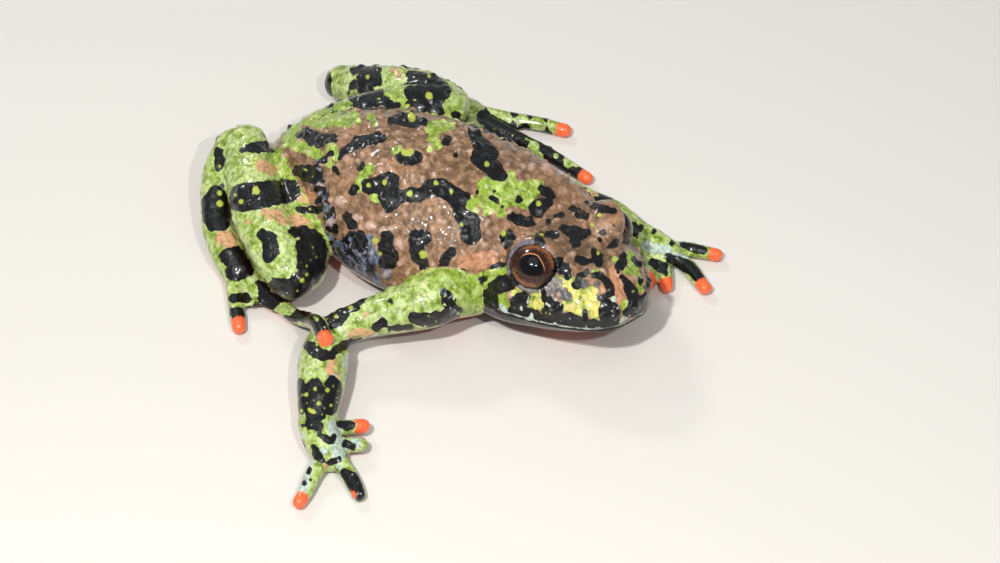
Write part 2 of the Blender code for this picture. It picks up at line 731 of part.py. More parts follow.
def set_origin(items):
    """Hang all parts on one empty, and move it so that the origin lies under their middle."""
    bpy.context.view_layer.update()
    corners = [item.matrix_world @ vert.co for item in items for vert in item.data.vertices]
    low = [min(corner[axis] for corner in corners) for axis in range(3)]
    high = [max(corner[axis] for corner in corners) for axis in range(3)]
    stand = bpy.data.objects.new("toad", None)
    bpy.context.scene.collection.objects.link(stand)
    for item in items:
        item.parent = stand
    stand.location = (-(low[0] + high[0]) / 2, -(low[1] + high[1]) / 2, -low[2])


def main():
    """Build every part, cut the flats on which the toad rests, and set the origin."""
    random.seed(SEED)
    clear_scene()
    head, jaw = build_head()
    parts = [(head, HEAD_AT), (jaw, HEAD_AT), (build_torso(), TORSO_STATIONS[5][:3])]
    for eye, side in zip(build_eyes(), (-1, 1)):
        parts.append((eye, eye_centre(side)))
    parts += build_arm("right", UPPER_ARM_RIGHT, FOREARM_RIGHT, HAND_RIGHT)
    parts += build_arm("left", UPPER_ARM_LEFT, FOREARM_LEFT, HAND_LEFT)
    parts += build_leg("right", THIGH_RIGHT, SHANK_RIGHT, TARSUS_RIGHT, FOOT_RIGHT,
                       (UPPER_ARM_RIGHT, FOREARM_RIGHT))
    parts += build_leg("left", THIGH_LEFT, SHANK_LEFT, TARSUS_LEFT, FOOT_LEFT, ())
    for item, pivot in parts:
        combine(item, [floor_block()], "DIFFERENCE")
        keep_largest(item)
        dress(item)
        set_pivot(item, pivot[:3])
    set_origin([item for item, pivot in parts])


main()
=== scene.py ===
"""A fire-bellied toad at rest, life size, as a museum model: one wet, warty skin and two eyes.

Lengths are millimetres in the toad's own frame until a mesh is made: the toad faces -Y, its left
side is +X and the floor is z = 0. The marks of the skin are strokes laid out in millimetres on a
picture plane, across and down from its corner, and carried onto the skin along the lines of sight.
"""
from __future__ import annotations

import logging
import math
from dataclasses import dataclass, field
from enum import Enum

import bpy
import numpy as np
from mathutils import Matrix, Vector


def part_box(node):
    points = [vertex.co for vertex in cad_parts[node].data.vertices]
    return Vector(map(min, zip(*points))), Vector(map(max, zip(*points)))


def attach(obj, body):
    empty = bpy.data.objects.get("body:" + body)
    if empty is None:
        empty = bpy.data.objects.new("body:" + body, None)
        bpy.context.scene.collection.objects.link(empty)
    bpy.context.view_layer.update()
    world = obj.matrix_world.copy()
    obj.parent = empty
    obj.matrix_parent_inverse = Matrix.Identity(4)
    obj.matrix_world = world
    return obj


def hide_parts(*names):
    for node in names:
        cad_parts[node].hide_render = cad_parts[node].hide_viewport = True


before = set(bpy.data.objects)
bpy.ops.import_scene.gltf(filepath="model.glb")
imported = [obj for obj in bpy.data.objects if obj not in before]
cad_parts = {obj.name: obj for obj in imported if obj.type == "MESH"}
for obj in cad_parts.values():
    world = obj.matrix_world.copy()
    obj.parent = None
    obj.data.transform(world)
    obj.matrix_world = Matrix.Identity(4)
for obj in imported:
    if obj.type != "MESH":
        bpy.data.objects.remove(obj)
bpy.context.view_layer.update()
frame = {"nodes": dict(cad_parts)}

LOG = logging.getLogger("toad")
MM = 0.001
Array = np.ndarray
Rows = tuple[tuple[float, ...], ...]
Socket = bpy.types.NodeSocket
Input = bpy.types.NodeSocket | float | tuple


class Region(Enum):
    """Parts of the body that a mark may lie on."""

    BODY = 0
    ARM_RIGHT = 1
    FOREARM_RIGHT = 2
    HAND_RIGHT = 3
    ARM_LEFT = 4
    FOREARM_LEFT = 5
    HAND_LEFT = 6
    THIGH_RIGHT = 7
    SHANK_RIGHT = 8
    TARSUS_RIGHT = 9
    FOOT_RIGHT = 10
    THIGH_LEFT = 11
    SHANK_LEFT = 12
    TARSUS_LEFT = 13
    FOOT_LEFT = 14


UPPER_LIMBS = [region.value for region in Region if region.name.split("_")[0] in ("ARM", "THIGH", "SHANK")]
HANDS_AND_FEET = [region.value for region in Region if region.name.split("_")[0] in ("HAND", "FOOT")]


class Group(Enum):
    """Regions that a row of marks may lie on together, so that no joint breaks a mark."""

    BODY = (0,)
    ARM_RIGHT = (1, 2, 3)
    ARM_LEFT = (4, 5, 6)
    LEG_RIGHT = (7, 8, 9, 10)
    LEG_LEFT = (11, 12, 13, 14)


class Paint(Enum):
    """Kinds of mark on the skin; each is one attribute of the mesh, in millimetres from its edge."""

    GREEN = "green"
    UMBER = "umber"
    RUST = "rust"
    BLUE = "blue"
    LILAC = "lilac"
    GREY = "grey"
    # pale: pale skin, and painted highlights on the far hand
    PALE = "pale"
    BELLY = "belly"
    LEMON = "lemon"
    MOTTLE = "mottle"
    BLACK = "black"
    CLEAR = "clear"
    DOT = "dot"
    # speck: pale specks, and small painted highlights on the limbs
    SPECK = "speck"
    ORANGE = "orange"
    WART = "wart"


@dataclass(frozen=True)
class Marks:
    """Strokes of one kind on one group of regions.

    Each stroke is a row of points: millimetres across and down the picture plane, and half width.
    Each spot is one such point.
    """

    group: Group
    paint: Paint
    strokes: tuple[Rows, ...]
    spots: Rows = ()


HAND_LAID_MARKS = (
    Marks(Group.BODY, Paint.BLACK, (
        ((31.1, 14.1, 0.36), (31.9, 13.9, 0.62), (32.6, 14.4, 0.83), (33.2, 14.8, 0.68)),
        ((33.3, 14.5, 0.62), (34.7, 14.4, 0.52)), ((35.4, 16.5, 0.26), (35.9, 15.8, 0.47),
        (36.7, 15.2, 0.57), (37.5, 14.8, 0.68), (38.5, 14.6, 0.68), (39.5, 14.5, 0.57), (39.9, 14.4, 0.36)),
        ((33.6, 16.8, 0.36), (34.5, 16.1, 0.36)), ((34.9, 17.6, 0.31), (35.2, 18.1, 0.23)),
        ((37.8, 17.2, 0.31), (37.5, 17.6, 0.26)), ((37, 19.6, 0.42), (36.8, 20, 0.42)),
        ((41.9, 16.4, 0.68), (42.6, 16.6, 0.78), (43.5, 16.4, 0.57)), ((40.7, 12.6, 0.42),
        (41.6, 12.3, 0.62), (42.5, 12.6, 0.73), (43.4, 12.7, 0.68), (44.2, 12.9, 0.36)),
        ((42.6, 11.1, 0.42), (43.1, 11.5, 0.42)), ((46.4, 14.8, 0.47), (46.6, 14.5, 0.45)),
        ((49.1, 13.6, 0.47), (49.6, 14.4, 0.68), (50.3, 15.3, 0.94), (50.9, 16.1, 1.04)),
        ((49.8, 16.5, 0.83), (50.7, 17, 0.94), (51.6, 17.8, 0.94), (52.2, 18.4, 0.62)),
        ((38.5, 19.4, 0.86), (39.6, 19.4, 0.83)), ((40, 19, 0.94), (40.7, 18.9, 0.99)),
        ((40.5, 20, 1.15), (40.7, 20.9, 1.04), (40.5, 21.8, 0.52)), ((41.4, 20.4, 0.62),
        (42.1, 20.5, 0.68), (42.9, 20.3, 0.83), (43.6, 20.4, 0.68)), ((44.5, 19.8, 0.83),
        (45.1, 19.6, 0.99), (45.9, 19.6, 0.99), (46.6, 20, 1.04)), ((46.8, 20.1, 0.99),
        (47.5, 20.5, 0.99), (47.8, 21.4, 0.83)), ((47.8, 21.1, 0.73), (47.9, 22.1, 0.68),
        (48.3, 22.9, 0.83)), ((49, 23.1, 1.02), (49, 24.4, 1.15)), ((43.4, 24.8, 0.94),
        (44.2, 24.7, 0.78)), ((43.3, 25.6, 0.73), (43.6, 26.7, 0.83)), ((44.1, 27.3, 0.62),
        (44.3, 28, 0.42)), ((47.1, 26.1, 0.47), (46.5, 26.8, 0.57), (46.1, 27.7, 0.47),
        (46, 28.3, 0.26)), ((48.1, 28.3, 0.4), (48.4, 28.6, 0.31)), ((50, 29.3, 0.47),
        (50.6, 28.9, 0.26)), ((51.1, 27.9, 0.23), (51.8, 27.7, 0.29), (52.4, 27.4, 0.26)),
        ((52.6, 24.8, 0.68), (53.2, 24.8, 0.62)), ((53.2, 22.6, 0.47), (54.1, 22.9, 0.62),
        (55, 23.1, 0.57), (55.6, 23.4, 0.26)), ((56, 21.7, 0.99), (56.9, 21.2, 0.57),
        (57.4, 21.2, 0.31)), ((56.4, 19.7, 0.42), (56.9, 20, 0.62), (57.6, 20.4, 0.36)),
        ((51.2, 20.6, 0.26), (51.9, 21, 0.26)), ((57.9, 22.6, 0.31), (58.5, 22.4, 0.31)),
        ((59.6, 21.7, 0.36), (60.3, 22.2, 0.52), (61, 22.5, 0.42)), ((57.1, 24.5, 0.4),
        (57.8, 24.5, 0.5)), ((58.6, 23.9, 0.47), (59.5, 24.1, 0.62), (60.4, 24.4, 0.62),
        (61.2, 24.2, 0.47)), ((56, 24.7, 0.36), (56.6, 25.2, 0.31)), ((61.8, 26.1, 0.31),
        (62.2, 26.8, 0.62), (62.3, 27.3, 0.52)), ((60.2, 27, 0.36), (60.8, 27.2, 0.47),
        (61.5, 27.2, 0.26)), ((64.5, 27.7, 0.57), (64.9, 27.3, 0.52)), ((60.4, 28.8, 0.42),
        (61.1, 28.4, 0.31)), ((61.7, 28.7, 0.23), (62.5, 28.7, 0.31), (63.1, 29.2, 0.42),
        (63.5, 29.9, 0.52), (63.6, 30.5, 0.47)), ((63, 30.9, 0.31), (62.5, 31.1, 0.26)),
        ((63.2, 31.9, 0.73), (63.5, 32.5, 1.15), (63.5, 33.2, 1.04)), ((62.9, 32.5, 0.47),
        (62.9, 33.8, 0.47)), ((64.8, 28.9, 0.31), (65.3, 29.6, 0.52), (65.8, 30.4, 0.68),
        (66, 31.2, 0.68)), ((65.9, 31.8, 0.68), (66.4, 31.2, 0.52)), ((66, 27, 0.31),
        (66.6, 27.6, 0.31)), ((66.5, 29.1, 0.21), (66.8, 29.6, 0.21)), ((67.5, 27.3, 0.26),
        (67.6, 28.8, 0.31), (67.5, 30.4, 0.42), (67, 31.9, 0.42)), ((66.7, 26, 0.26),
        (67.2, 26.7, 0.21)), ((68.2, 29.6, 0.83), (68.2, 30.8, 0.83), (67.7, 31.9, 0.73)),
        ((65.4, 32.5, 0.57), (66.4, 32.2, 0.73), (67.2, 31.6, 0.62)), ((31.1, 17.8, 0.62),
        (32.1, 18.1, 0.94), (32.9, 18.5, 0.73)), ((31.2, 21.8, 0.33), (32.1, 21.9, 0.42),
        (33.1, 21.9, 0.52)), ((58.3, 26.9, 0.31), (58.8, 27.5, 0.42), (59, 28.1, 0.52),
        (59.2, 28.8, 0.42)), ((57, 31.2, 0.57), (57.6, 31.9, 0.73), (58.3, 32.1, 0.52)),
        ((56.9, 32.4, 0.52), (57.5, 32.8, 0.62)), ((57.6, 32.9, 0.62), (58.5, 33.2, 0.62),
        (59.4, 33.3, 0.78), (60.4, 33.6, 0.68), (61.5, 33.8, 0.62), (62.1, 33.6, 0.42)),
        ((60.9, 32.5, 0.26), (61, 33.1, 0.31)), ((50.4, 31.2, 0.78), (51, 30.8, 0.83),
        (51.2, 31.8, 0.73)), ((51.5, 30, 0.73), (52.3, 29.6, 0.94), (53.1, 29.8, 0.62)),
        ((48.8, 32, 0.36), (49.8, 32.3, 0.47), (51, 32.6, 0.52), (51.9, 32.9, 0.42)),
        ((53.9, 31.6, 0.83), (54.4, 31.4, 0.73), (54.5, 31, 0.42)), ((53.6, 32.5, 0.73),
        (54.4, 32.6, 0.73)), ((55.2, 32.6, 0.62), (55.9, 32.9, 0.52)), ((56.2, 33.3, 0.57),
        (57.1, 33.4, 0.62)), ((46.4, 31.2, 0.31), (47.1, 31.7, 0.31), (47.9, 32.3, 0.31)),
        ((46.2, 33.1, 0.31), (46.7, 33.8, 0.31)), ((36.2, 22.6, 0.62), (36.7, 23.3, 0.62)),
        ((37.6, 24.6, 0.62), (37.9, 25.3, 0.52)), ((40.4, 24.6, 0.62), (40.2, 25.5, 0.73),
        (40.6, 26.6, 0.89)), ((40.1, 27.3, 0.73), (40.7, 27.3, 0.73), (41.2, 26.9, 0.42)),
        ((36.7, 28.3, 0.42), (37.7, 29.4, 0.52)), ((39.4, 30, 0.52), (39.9, 30.5, 0.31)),
        ((61.2, 21.2, 0.31), (62.5, 21.7, 0.42), (63.8, 22, 0.42)), ((63.5, 25.7, 0.31),
        (64.2, 25.3, 0.42)),
    ), (
        (47.4, 16.2, 0.27), (48.5, 20.5, 0.52), (46.8, 30, 0.21), (44.8, 22.8, 0.21), (47.6, 28.8, 0.23),
        (53.1, 24.1, 0.31), (53, 25.6, 0.52), (54, 20.8, 0.4), (49.7, 20, 0.24), (51.5, 19.9, 0.21),
        (52.3, 21.5, 0.19), (57.1, 23.1, 0.29), (59.9, 25.3, 0.6), (64.8, 26.8, 0.42), (64.3, 28.4, 0.31),
        (60.1, 29.7, 0.52), (65.8, 32.6, 0.31), (67, 30.5, 0.19), (33.1, 19.7, 0.42), (52.6, 29, 0.52),
        (48, 30.9, 0.44), (62.3, 22.5, 0.31), (62.5, 25, 0.31), (62.8, 24.2, 0.36), (64, 23.5, 0.21),
    )),
    Marks(Group.BODY, Paint.GREEN, (
        ((32.3, 12.3, 0.94), (33.5, 12.5, 1.04), (34.6, 12.1, 1.04), (35.9, 12.5, 0.83),
        (37, 12.5, 0.62)), ((34.4, 11.2, 0.73), (33.5, 13, 0.62)), ((29.8, 12.3, 0.73),
        (30.6, 13.3, 0.83), (30.2, 14.8, 0.62)), ((30.9, 15.2, 0.52), (31.9, 15.6, 0.52)),
        ((35.9, 11.6, 0.52), (37.1, 11.9, 0.42)), ((38.6, 12.2, 0.42), (39, 12.9, 0.31)),
        ((31.6, 15.3, 0.52), (32.5, 15.8, 0.62), (33.3, 16.2, 0.52)), ((34.6, 15.6, 0.62),
        (35, 16.4, 0.42)), ((34.2, 17.1, 0.36), (34.7, 17.3, 0.31)), ((38.6, 17.5, 0.52),
        (37.9, 18.1, 0.52), (37.5, 19, 0.47), (37.3, 19.8, 0.33)), ((39.2, 20.5, 0.62),
        (39.7, 20.8, 0.42)), ((45, 13.3, 0.73), (45.8, 13.1, 0.83), (46.8, 13.1, 0.62)),
        ((45.2, 14.4, 0.62), (45.5, 15.1, 0.52)), ((41.1, 15.7, 0.42), (41.7, 15.5, 0.31)),
        ((53.2, 18.2, 0.52), (52.9, 19.1, 0.94), (53.3, 19.8, 1.15)), ((51.6, 19.1, 0.73),
        (50.5, 19.4, 0.83)), ((54.6, 19.8, 0.94), (55.5, 19.5, 0.83), (56.2, 19.2, 0.52)),
        ((52.6, 20.3, 1.04), (54.2, 20.5, 1.04), (55.2, 20.3, 0.83)), ((50.5, 20.8, 0.94),
        (51.6, 21.1, 1.04), (52.6, 20.8, 0.94)), ((48.8, 21.5, 0.62), (49.3, 22, 0.52)),
        ((50.7, 22.1, 0.52), (50.4, 22.6, 0.21)), ((47.7, 29.7, 0.52), (48.8, 29.5, 0.73),
        (50, 29.4, 0.94), (51, 28.8, 0.73), (51.9, 28.2, 0.62), (52.6, 27.9, 0.42)),
        ((49, 30.4, 0.73), (49.8, 30.4, 0.62)), ((51.8, 31.2, 0.52), (52.4, 31, 0.62)),
        ((52.1, 30.7, 0.62), (52.5, 31.8, 0.52)), ((53.6, 30.5, 0.42), (54.4, 30.4, 0.31)),
        ((55.2, 30.9, 0.62), (56, 31.2, 0.83), (56.8, 32, 0.52)), ((56.8, 29.9, 0.52),
        (57.8, 29.7, 0.52), (58.9, 29.4, 0.52)), ((59.6, 29.5, 0.62), (59.9, 30.2, 0.62)),
        ((59.4, 31.2, 0.83), (59.9, 31.8, 0.94)), ((60.9, 31.2, 0.94), (61.7, 31.6, 0.83)),
        ((60.4, 32.5, 0.52), (60.5, 33.2, 0.26)), ((61.8, 32.6, 0.52), (62, 33.1, 0.36)),
        ((61.9, 28.3, 0.31), (62.5, 28.2, 0.21)), ((68.3, 27.3, 0.83), (68.3, 28.3, 0.73)),
        ((65.1, 31.6, 0.36), (65.1, 32.4, 0.26)), ((65.6, 26.6, 0.52), (66, 28.1, 0.42),
        (66.5, 29.2, 0.36), (66.7, 30.2, 0.31)),
    ), (
        (30, 14.4, 0.62), (44.8, 15.6, 0.31), (49, 20.8, 0.52), (52.1, 22.1, 0.62), (54.7, 21.2, 0.62),
        (49.1, 31.2, 0.52), (55.5, 31.8, 0.42), (61.5, 30.5, 0.73), (59, 31.9, 0.52), (65.3, 28.3, 0.31),
        (64, 27, 0.31),
    )),
    Marks(Group.BODY, Paint.BLUE, (
        ((34.2, 24.6, 0.42), (34.8, 25.6, 0.83), (35.9, 26.6, 1.25), (37.1, 27.3, 1.35), (38, 28.5, 1.25),
        (39, 29.6, 0.73)), ((36.7, 25, 0.94), (37.7, 26, 1.04), (38.8, 26.9, 0.83)),
        ((33, 16.9, 0.31), (33.2, 18.8, 0.47), (33.8, 20.8, 0.52), (34.4, 23.1, 0.52)),
        ((47.4, 32.3, 0.52), (47.9, 33.1, 0.52)), ((47.1, 30.8, 0.31), (47.7, 31.6, 0.31)),
    ), (
        (38.3, 25, 0.62), (40.3, 28.5, 0.52),
    )),
    Marks(Group.BODY, Paint.LEMON, (
        ((53.6, 30.5, 0.42), (54.6, 30.6, 0.31)), ((55.3, 31, 0.52), (56.2, 31.6, 0.73),
        (56.9, 32.2, 0.42)), ((57, 29.9, 0.42), (58.3, 29.5, 0.42), (59.6, 29.7, 0.52)),
        ((59, 31.4, 0.62), (59.9, 31.7, 0.94), (61, 31.5, 0.94), (61.9, 31.6, 0.62)),
        ((60.4, 32.5, 0.47), (60.5, 33.2, 0.23)),
    ), (
        (59.8, 30.4, 0.73), (61.9, 32.6, 0.42), (61.5, 30.5, 0.62),
    )),
    Marks(Group.BODY, Paint.MOTTLE, (
        ((47.1, 31.2, 0.62), (47.7, 32.3, 0.83)), ((34.4, 25, 0.62), (35.6, 26.2, 1.15),
        (37.1, 27.3, 1.35), (38.1, 28.5, 1.25)), ((36.7, 25, 0.94), (37.7, 26, 0.94)),
        ((33.1, 17.2, 0.42), (33.4, 19.8, 0.62), (34.2, 22.1, 0.73), (34.8, 23.8, 0.62)),
    )),
    Marks(Group.BODY, Paint.WART, (), (
        (35.5, 21, 0.68), (34, 21.1, 0.42), (34.5, 23.1, 0.57), (34, 24, 0.36), (37.2, 22.7, 0.57),
        (38.6, 23.5, 0.62), (40, 24.1, 0.62), (41.6, 25.3, 0.62), (41.9, 25.8, 0.42), (40.3, 28.5, 0.52),
        (42.5, 28.4, 0.42), (41.7, 27.4, 0.47), (44.2, 29.5, 0.42), (41.1, 29.6, 0.42), (42.5, 29.7, 0.42),
        (35.3, 17.3, 0.33), (45.1, 27.5, 0.42), (45.8, 23, 0.47), (33.1, 17.3, 0.52), (33.5, 19.3, 0.52),
        (55.3, 17.5, 0.52), (44.2, 30.7, 0.31), (50.8, 23.1, 0.42), (56.8, 17.5, 0.62),
    )),
    Marks(Group.BODY, Paint.PALE, (
        ((62.2, 33.4, 0.24), (62.1, 34, 0.24), (62.6, 33.9, 0.19)), ((57.6, 33.5, 0.21),
        (58, 34, 0.19)), ((65.3, 32.3, 0.21), (65.3, 32.9, 0.26), (64.8, 33.3, 0.19)),
        ((66.8, 31.2, 0.21), (66.6, 31.9, 0.17)), ((52.3, 31.9, 0.31), (52.7, 32.5, 0.26)),
        ((58.9, 34.3, 0.08), (60.4, 34.4, 0.08), (62.2, 34.2, 0.1), (63.8, 34, 0.1), (64.8, 33.4, 0.12)),
        ((47.6, 30.2, 0.42), (47.9, 29.9, 0.31)),
    ), (
        (63.9, 31.2, 0.34), (48.5, 31.6, 0.26), (49.3, 31.6, 0.21), (49, 31, 0.31),
    )),
    Marks(Group.BODY, Paint.LILAC, (
        ((53, 28.5, 0.31), (53.5, 29.5, 0.47), (54.4, 30.2, 0.52), (55.4, 30.6, 0.52), (56.2, 30.5, 0.44),
        (56.9, 30, 0.36)),
    )),
    Marks(Group.BODY, Paint.UMBER, (), (
        (56.8, 20.3, 1.46), (58.3, 23.4, 1.67), (60.4, 25.5, 1.46), (56.2, 24.5, 1.25), (62.5, 26.6, 0.94),
        (63.8, 25, 0.62),
    )),
    Marks(Group.BODY, Paint.GREY, (
        ((57.6, 28.9, 0.31), (58.1, 28.2, 0.23)), ((58.4, 30.5, 0.57), (59.1, 30.9, 0.47)),
    ), (
        (60.7, 29.6, 0.47), (62.2, 29.7, 0.38),
    )),
    Marks(Group.BODY, Paint.RUST, (
        ((31, 20.2, 0.83), (32.2, 20.6, 0.68)), ((31, 22.9, 0.73), (31.9, 23.5, 0.62)),
        ((48.5, 27.3, 0.83), (50, 27.2, 0.94), (51.2, 26.8, 0.73)), ((63.8, 28.1, 0.36),
        (64.3, 29.6, 0.52), (64.7, 30.6, 0.52), (64.4, 31.4, 0.31)),
    ), (
        (52.4, 26.2, 0.31), (62.6, 30, 0.52),
    )),
    Marks(Group.BODY, Paint.ORANGE, (
        ((37.4, 29.3, 0.16), (38.1, 29.8, 0.21)), ((50.4, 33.1, 0.23), (51.1, 33.4, 0.23),
        (51.8, 33.6, 0.12)), ((48.6, 33.1, 0.21), (49.4, 33.5, 0.17)),
    )),
    Marks(Group.BODY, Paint.DOT, (
        ((42.1, 15.9, 0.31), (42.8, 15.9, 0.36)),
    ), (
        (42.9, 12.3, 0.4), (42.6, 11, 0.42), (38.4, 19.3, 0.25), (40.1, 19, 0.29), (42.7, 20.2, 0.31),
        (45.4, 19.1, 0.29), (47, 20, 0.21), (48.1, 23.4, 0.19), (44.1, 26.5, 0.42), (53.1, 25.2, 0.2),
        (56.1, 21.2, 0.29), (52.4, 24.3, 0.31), (62.3, 26.4, 0.19), (31.9, 17.7, 0.12), (32.6, 18.4, 0.1),
        (32.3, 21.8, 0.12), (56.9, 32.6, 0.1), (57.3, 32.6, 0.1), (65.9, 30.4, 0.12), (39.1, 25.1, 0.35),
        (39.6, 26.4, 0.25), (61.7, 23.4, 0.21), (62.4, 22.4, 0.23), (49.8, 29, 0.1), (50.7, 17.1, 0.26),
    )),
    Marks(Group.BODY, Paint.SPECK, (
        ((56.9, 31.6, 0.12), (57.3, 31.9, 0.1)), ((54.3, 32.2, 0.17), (54.3, 31.9, 0.1)),
        ((54.9, 33.3, 0.18), (55.3, 33.2, 0.25), (55.4, 32.7, 0.15)),
    ), (
        (63.1, 31.8, 0.12), (64, 32, 0.11), (64.3, 32.1, 0.12), (63.8, 32.8, 0.09), (64.1, 33.3, 0.12),
        (62.8, 33, 0.07), (66, 32.1, 0.11), (65.6, 32.9, 0.11), (65.8, 31.5, 0.08), (66.2, 32.5, 0.08),
        (59.4, 33.2, 0.12), (61, 33.9, 0.12), (59.8, 34.1, 0.09), (58.4, 33.5, 0.08), (57.2, 30.8, 0.1),
        (57.9, 31.2, 0.19), (57.4, 31.2, 0.12), (58.4, 31.7, 0.14), (58.1, 32, 0.08), (57.1, 32.2, 0.08),
        (56.7, 33, 0.07), (53.6, 32, 0.07), (56.4, 33.6, 0.16), (50.4, 32.6, 0.07), (50, 32.4, 0.07),
        (51.5, 32.9, 0.07), (61.2, 32.4, 0.06), (59, 28.2, 0.1), (58, 27.7, 0.12), (57.8, 27.1, 0.14),
        (55, 31.5, 0.15), (52, 31.8, 0.08), (62.1, 29.6, 0.11), (61.4, 30.4, 0.14), (60.1, 29.6, 0.12),
    )),
    Marks(Group.ARM_RIGHT, Paint.BLACK, (
        ((35.4, 44.2, 0.42), (36.1, 44.4, 0.47)), ((39.2, 34.1, 0.47), (39.9, 33.6, 0.52)),
        ((40.6, 34.2, 0.31), (41.7, 34.1, 0.33), (42.8, 34.1, 0.33)), ((43.1, 33.1, 0.62),
        (44.2, 33.3, 0.83), (45.4, 33.2, 0.83), (46.4, 33.4, 0.73)), ((46.9, 33.5, 0.62),
        (47.7, 33.5, 0.52)), ((46.4, 31.2, 0.31), (47.1, 31.7, 0.31), (47.9, 32.3, 0.31)),
        ((32.5, 32.2, 0.73), (33.9, 32.1, 1.04), (35.4, 32, 1.04), (36.7, 31.6, 0.83),
        (37.5, 31, 0.62)), ((34.2, 33.5, 0.83), (35.1, 33.2, 0.94)), ((32, 35.9, 0.52),
        (32.7, 36.4, 0.78), (33.5, 36.9, 0.68), (34.5, 37, 0.47)), ((34.7, 36.7, 0.44),
        (35.6, 36.1, 0.44)), ((35.9, 35.9, 0.48), (36.9, 35.7, 0.48), (37.6, 35.6, 0.4)),
        ((31.1, 40, 0.62), (31.5, 41.2, 0.73), (31.5, 42.5, 0.62)), ((32.8, 40.3, 0.94),
        (33.1, 41.7, 1.25), (32.9, 43, 1.15)), ((34.6, 40, 0.83), (34.9, 41.2, 0.83),
        (34.3, 42.5, 0.83)), ((32.2, 44.2, 0.52), (33.1, 44.3, 0.62)), ((33.3, 45.3, 0.31),
        (34.4, 45.9, 0.44), (34.8, 45.5, 0.33)), ((32.7, 46.6, 0.38), (33.2, 47.6, 0.5),
        (33.6, 48, 0.31)), ((34.5, 48.2, 0.38), (35.2, 47.9, 0.38)), ((36, 46.2, 0.42),
        (36.7, 46.6, 0.4)), ((35.9, 49.3, 0.52), (36.7, 50, 0.89), (37.3, 50.9, 0.89),
        (37.6, 51.7, 0.62)), ((35.7, 43.9, 0.44), (36.6, 44.3, 0.44)),
    ), (
        (46.4, 32.4, 0.36), (40.7, 31.4, 0.29), (36, 32.9, 0.52), (37.1, 32.1, 0.42), (31.6, 46.5, 0.29),
        (32.1, 49, 0.42), (31.7, 50.3, 0.29), (32.4, 50, 0.19), (31.6, 44.3, 0.21),
    )),
    Marks(Group.ARM_RIGHT, Paint.CLEAR, (
        ((30.5, 41.7, 0.21), (30.7, 43.5, 0.33), (30.9, 44.8, 0.42)), ((32.5, 34.5, 0.52),
        (31.9, 34.9, 0.31)), ((36, 34, 0.42), (36.5, 33.3, 0.31)),
    )),
    Marks(Group.ARM_RIGHT, Paint.RUST, (
        ((36.7, 34.8, 0.44), (37.7, 34.7, 0.52), (38.8, 34.8, 0.38)), ((34.8, 37.6, 0.47),
        (34.5, 38.6, 0.57), (35, 39.3, 0.31)),
    ), (
        (33.2, 44.7, 0.31), (33.9, 48.5, 0.31), (38.1, 32.8, 0.31),
    )),
    Marks(Group.ARM_RIGHT, Paint.PALE, (
        ((36.4, 37, 0.36), (35.9, 38.1, 0.31)), ((34.5, 44.3, 0.52), (35.1, 45.4, 0.73),
        (35.4, 46.6, 0.83), (35.2, 47.6, 0.62)), ((32.4, 48.2, 0.35), (32, 49.6, 0.42),
        (31.6, 51.1, 0.42)), ((30.8, 45.8, 0.31), (31.5, 45.4, 0.25)),
    ), (
        (39.1, 35, 0.27), (34.8, 39.1, 0.21), (33.8, 46.9, 0.42), (35.3, 48.6, 0.31), (37.1, 46.1, 0.52),
        (35.5, 49.4, 0.25), (31.8, 47.4, 0.31),
    )),
    Marks(Group.ARM_RIGHT, Paint.BLUE, (
        ((46.7, 31.9, 0.31), (47.1, 32.8, 0.52), (46.9, 33.5, 0.42)), ((46.2, 30.3, 0.26),
        (46.9, 31, 0.36)),
    )),
    Marks(Group.ARM_RIGHT, Paint.MOTTLE, (
        ((46.5, 30.8, 0.62), (47.1, 32.1, 0.94), (47.1, 33.1, 0.83)),
    )),
    Marks(Group.ARM_RIGHT, Paint.DOT, (
        ((32.2, 42.7, 0.21), (32.7, 42.9, 0.21)),
    ), (
        (34.7, 32.4, 0.18), (35, 33, 0.21), (33.9, 32.2, 0.15), (36.5, 32, 0.27), (34, 33.2, 0.15),
        (37.1, 31.2, 0.12), (35.7, 31.4, 0.1), (33, 35.9, 0.15), (44.6, 32.9, 0.1), (45.4, 33.5, 0.08),
        (32.8, 40.5, 0.21), (31.9, 41.1, 0.2), (32.3, 40.7, 0.1), (31.5, 41.1, 0.1), (34.1, 40.6, 0.25),
        (33.2, 42, 0.25), (34.5, 42.2, 0.15), (31.4, 42.8, 0.19), (33.6, 41.2, 0.09), (34.7, 40.2, 0.09),
        (33.9, 39.6, 0.1), (32.6, 41.7, 0.09), (35.2, 40.7, 0.08), (33.5, 43.2, 0.1), (32, 42, 0.08),
        (33.8, 42.5, 0.08), (35.1, 41.9, 0.08),
    )),
    # small pale specks on the right arm and hand, partly painted highlights
    Marks(Group.ARM_RIGHT, Paint.SPECK, (), (
        (44.3, 34, 0.14), (45.5, 34, 0.1), (46.1, 33.8, 0.12), (47.1, 33.9, 0.09), (32.4, 44.3, 0.11),
        (35.1, 41.5, 0.1), (36.7, 49.4, 0.1), (37.3, 50.3, 0.1), (37.6, 51.4, 0.1),
    )),
    Marks(Group.ARM_RIGHT, Paint.ORANGE, (
        ((37.4, 43.6, 0.52), (37.8, 44.2, 0.52), (37.5, 44.9, 0.52)),
    ), (
        (31.1, 52.3, 0.68), (36.8, 51.6, 0.33),
    )),
    Marks(Group.ARM_RIGHT, Paint.WART, (), (
        (41.2, 30.6, 0.21), (43.8, 29.6, 0.23), (42.5, 30.2, 0.25),
    )),
    Marks(Group.LEG_RIGHT, Paint.BLACK, (
        ((25.2, 15.7, 0.31), (26.2, 15.4, 0.52), (27.5, 15.3, 0.65), (28.3, 15.5, 0.52)),
        ((25.3, 12.5, 0.16), (26.2, 12.4, 0.23)), ((24.1, 20.9, 0.94), (25.3, 20.6, 1.46),
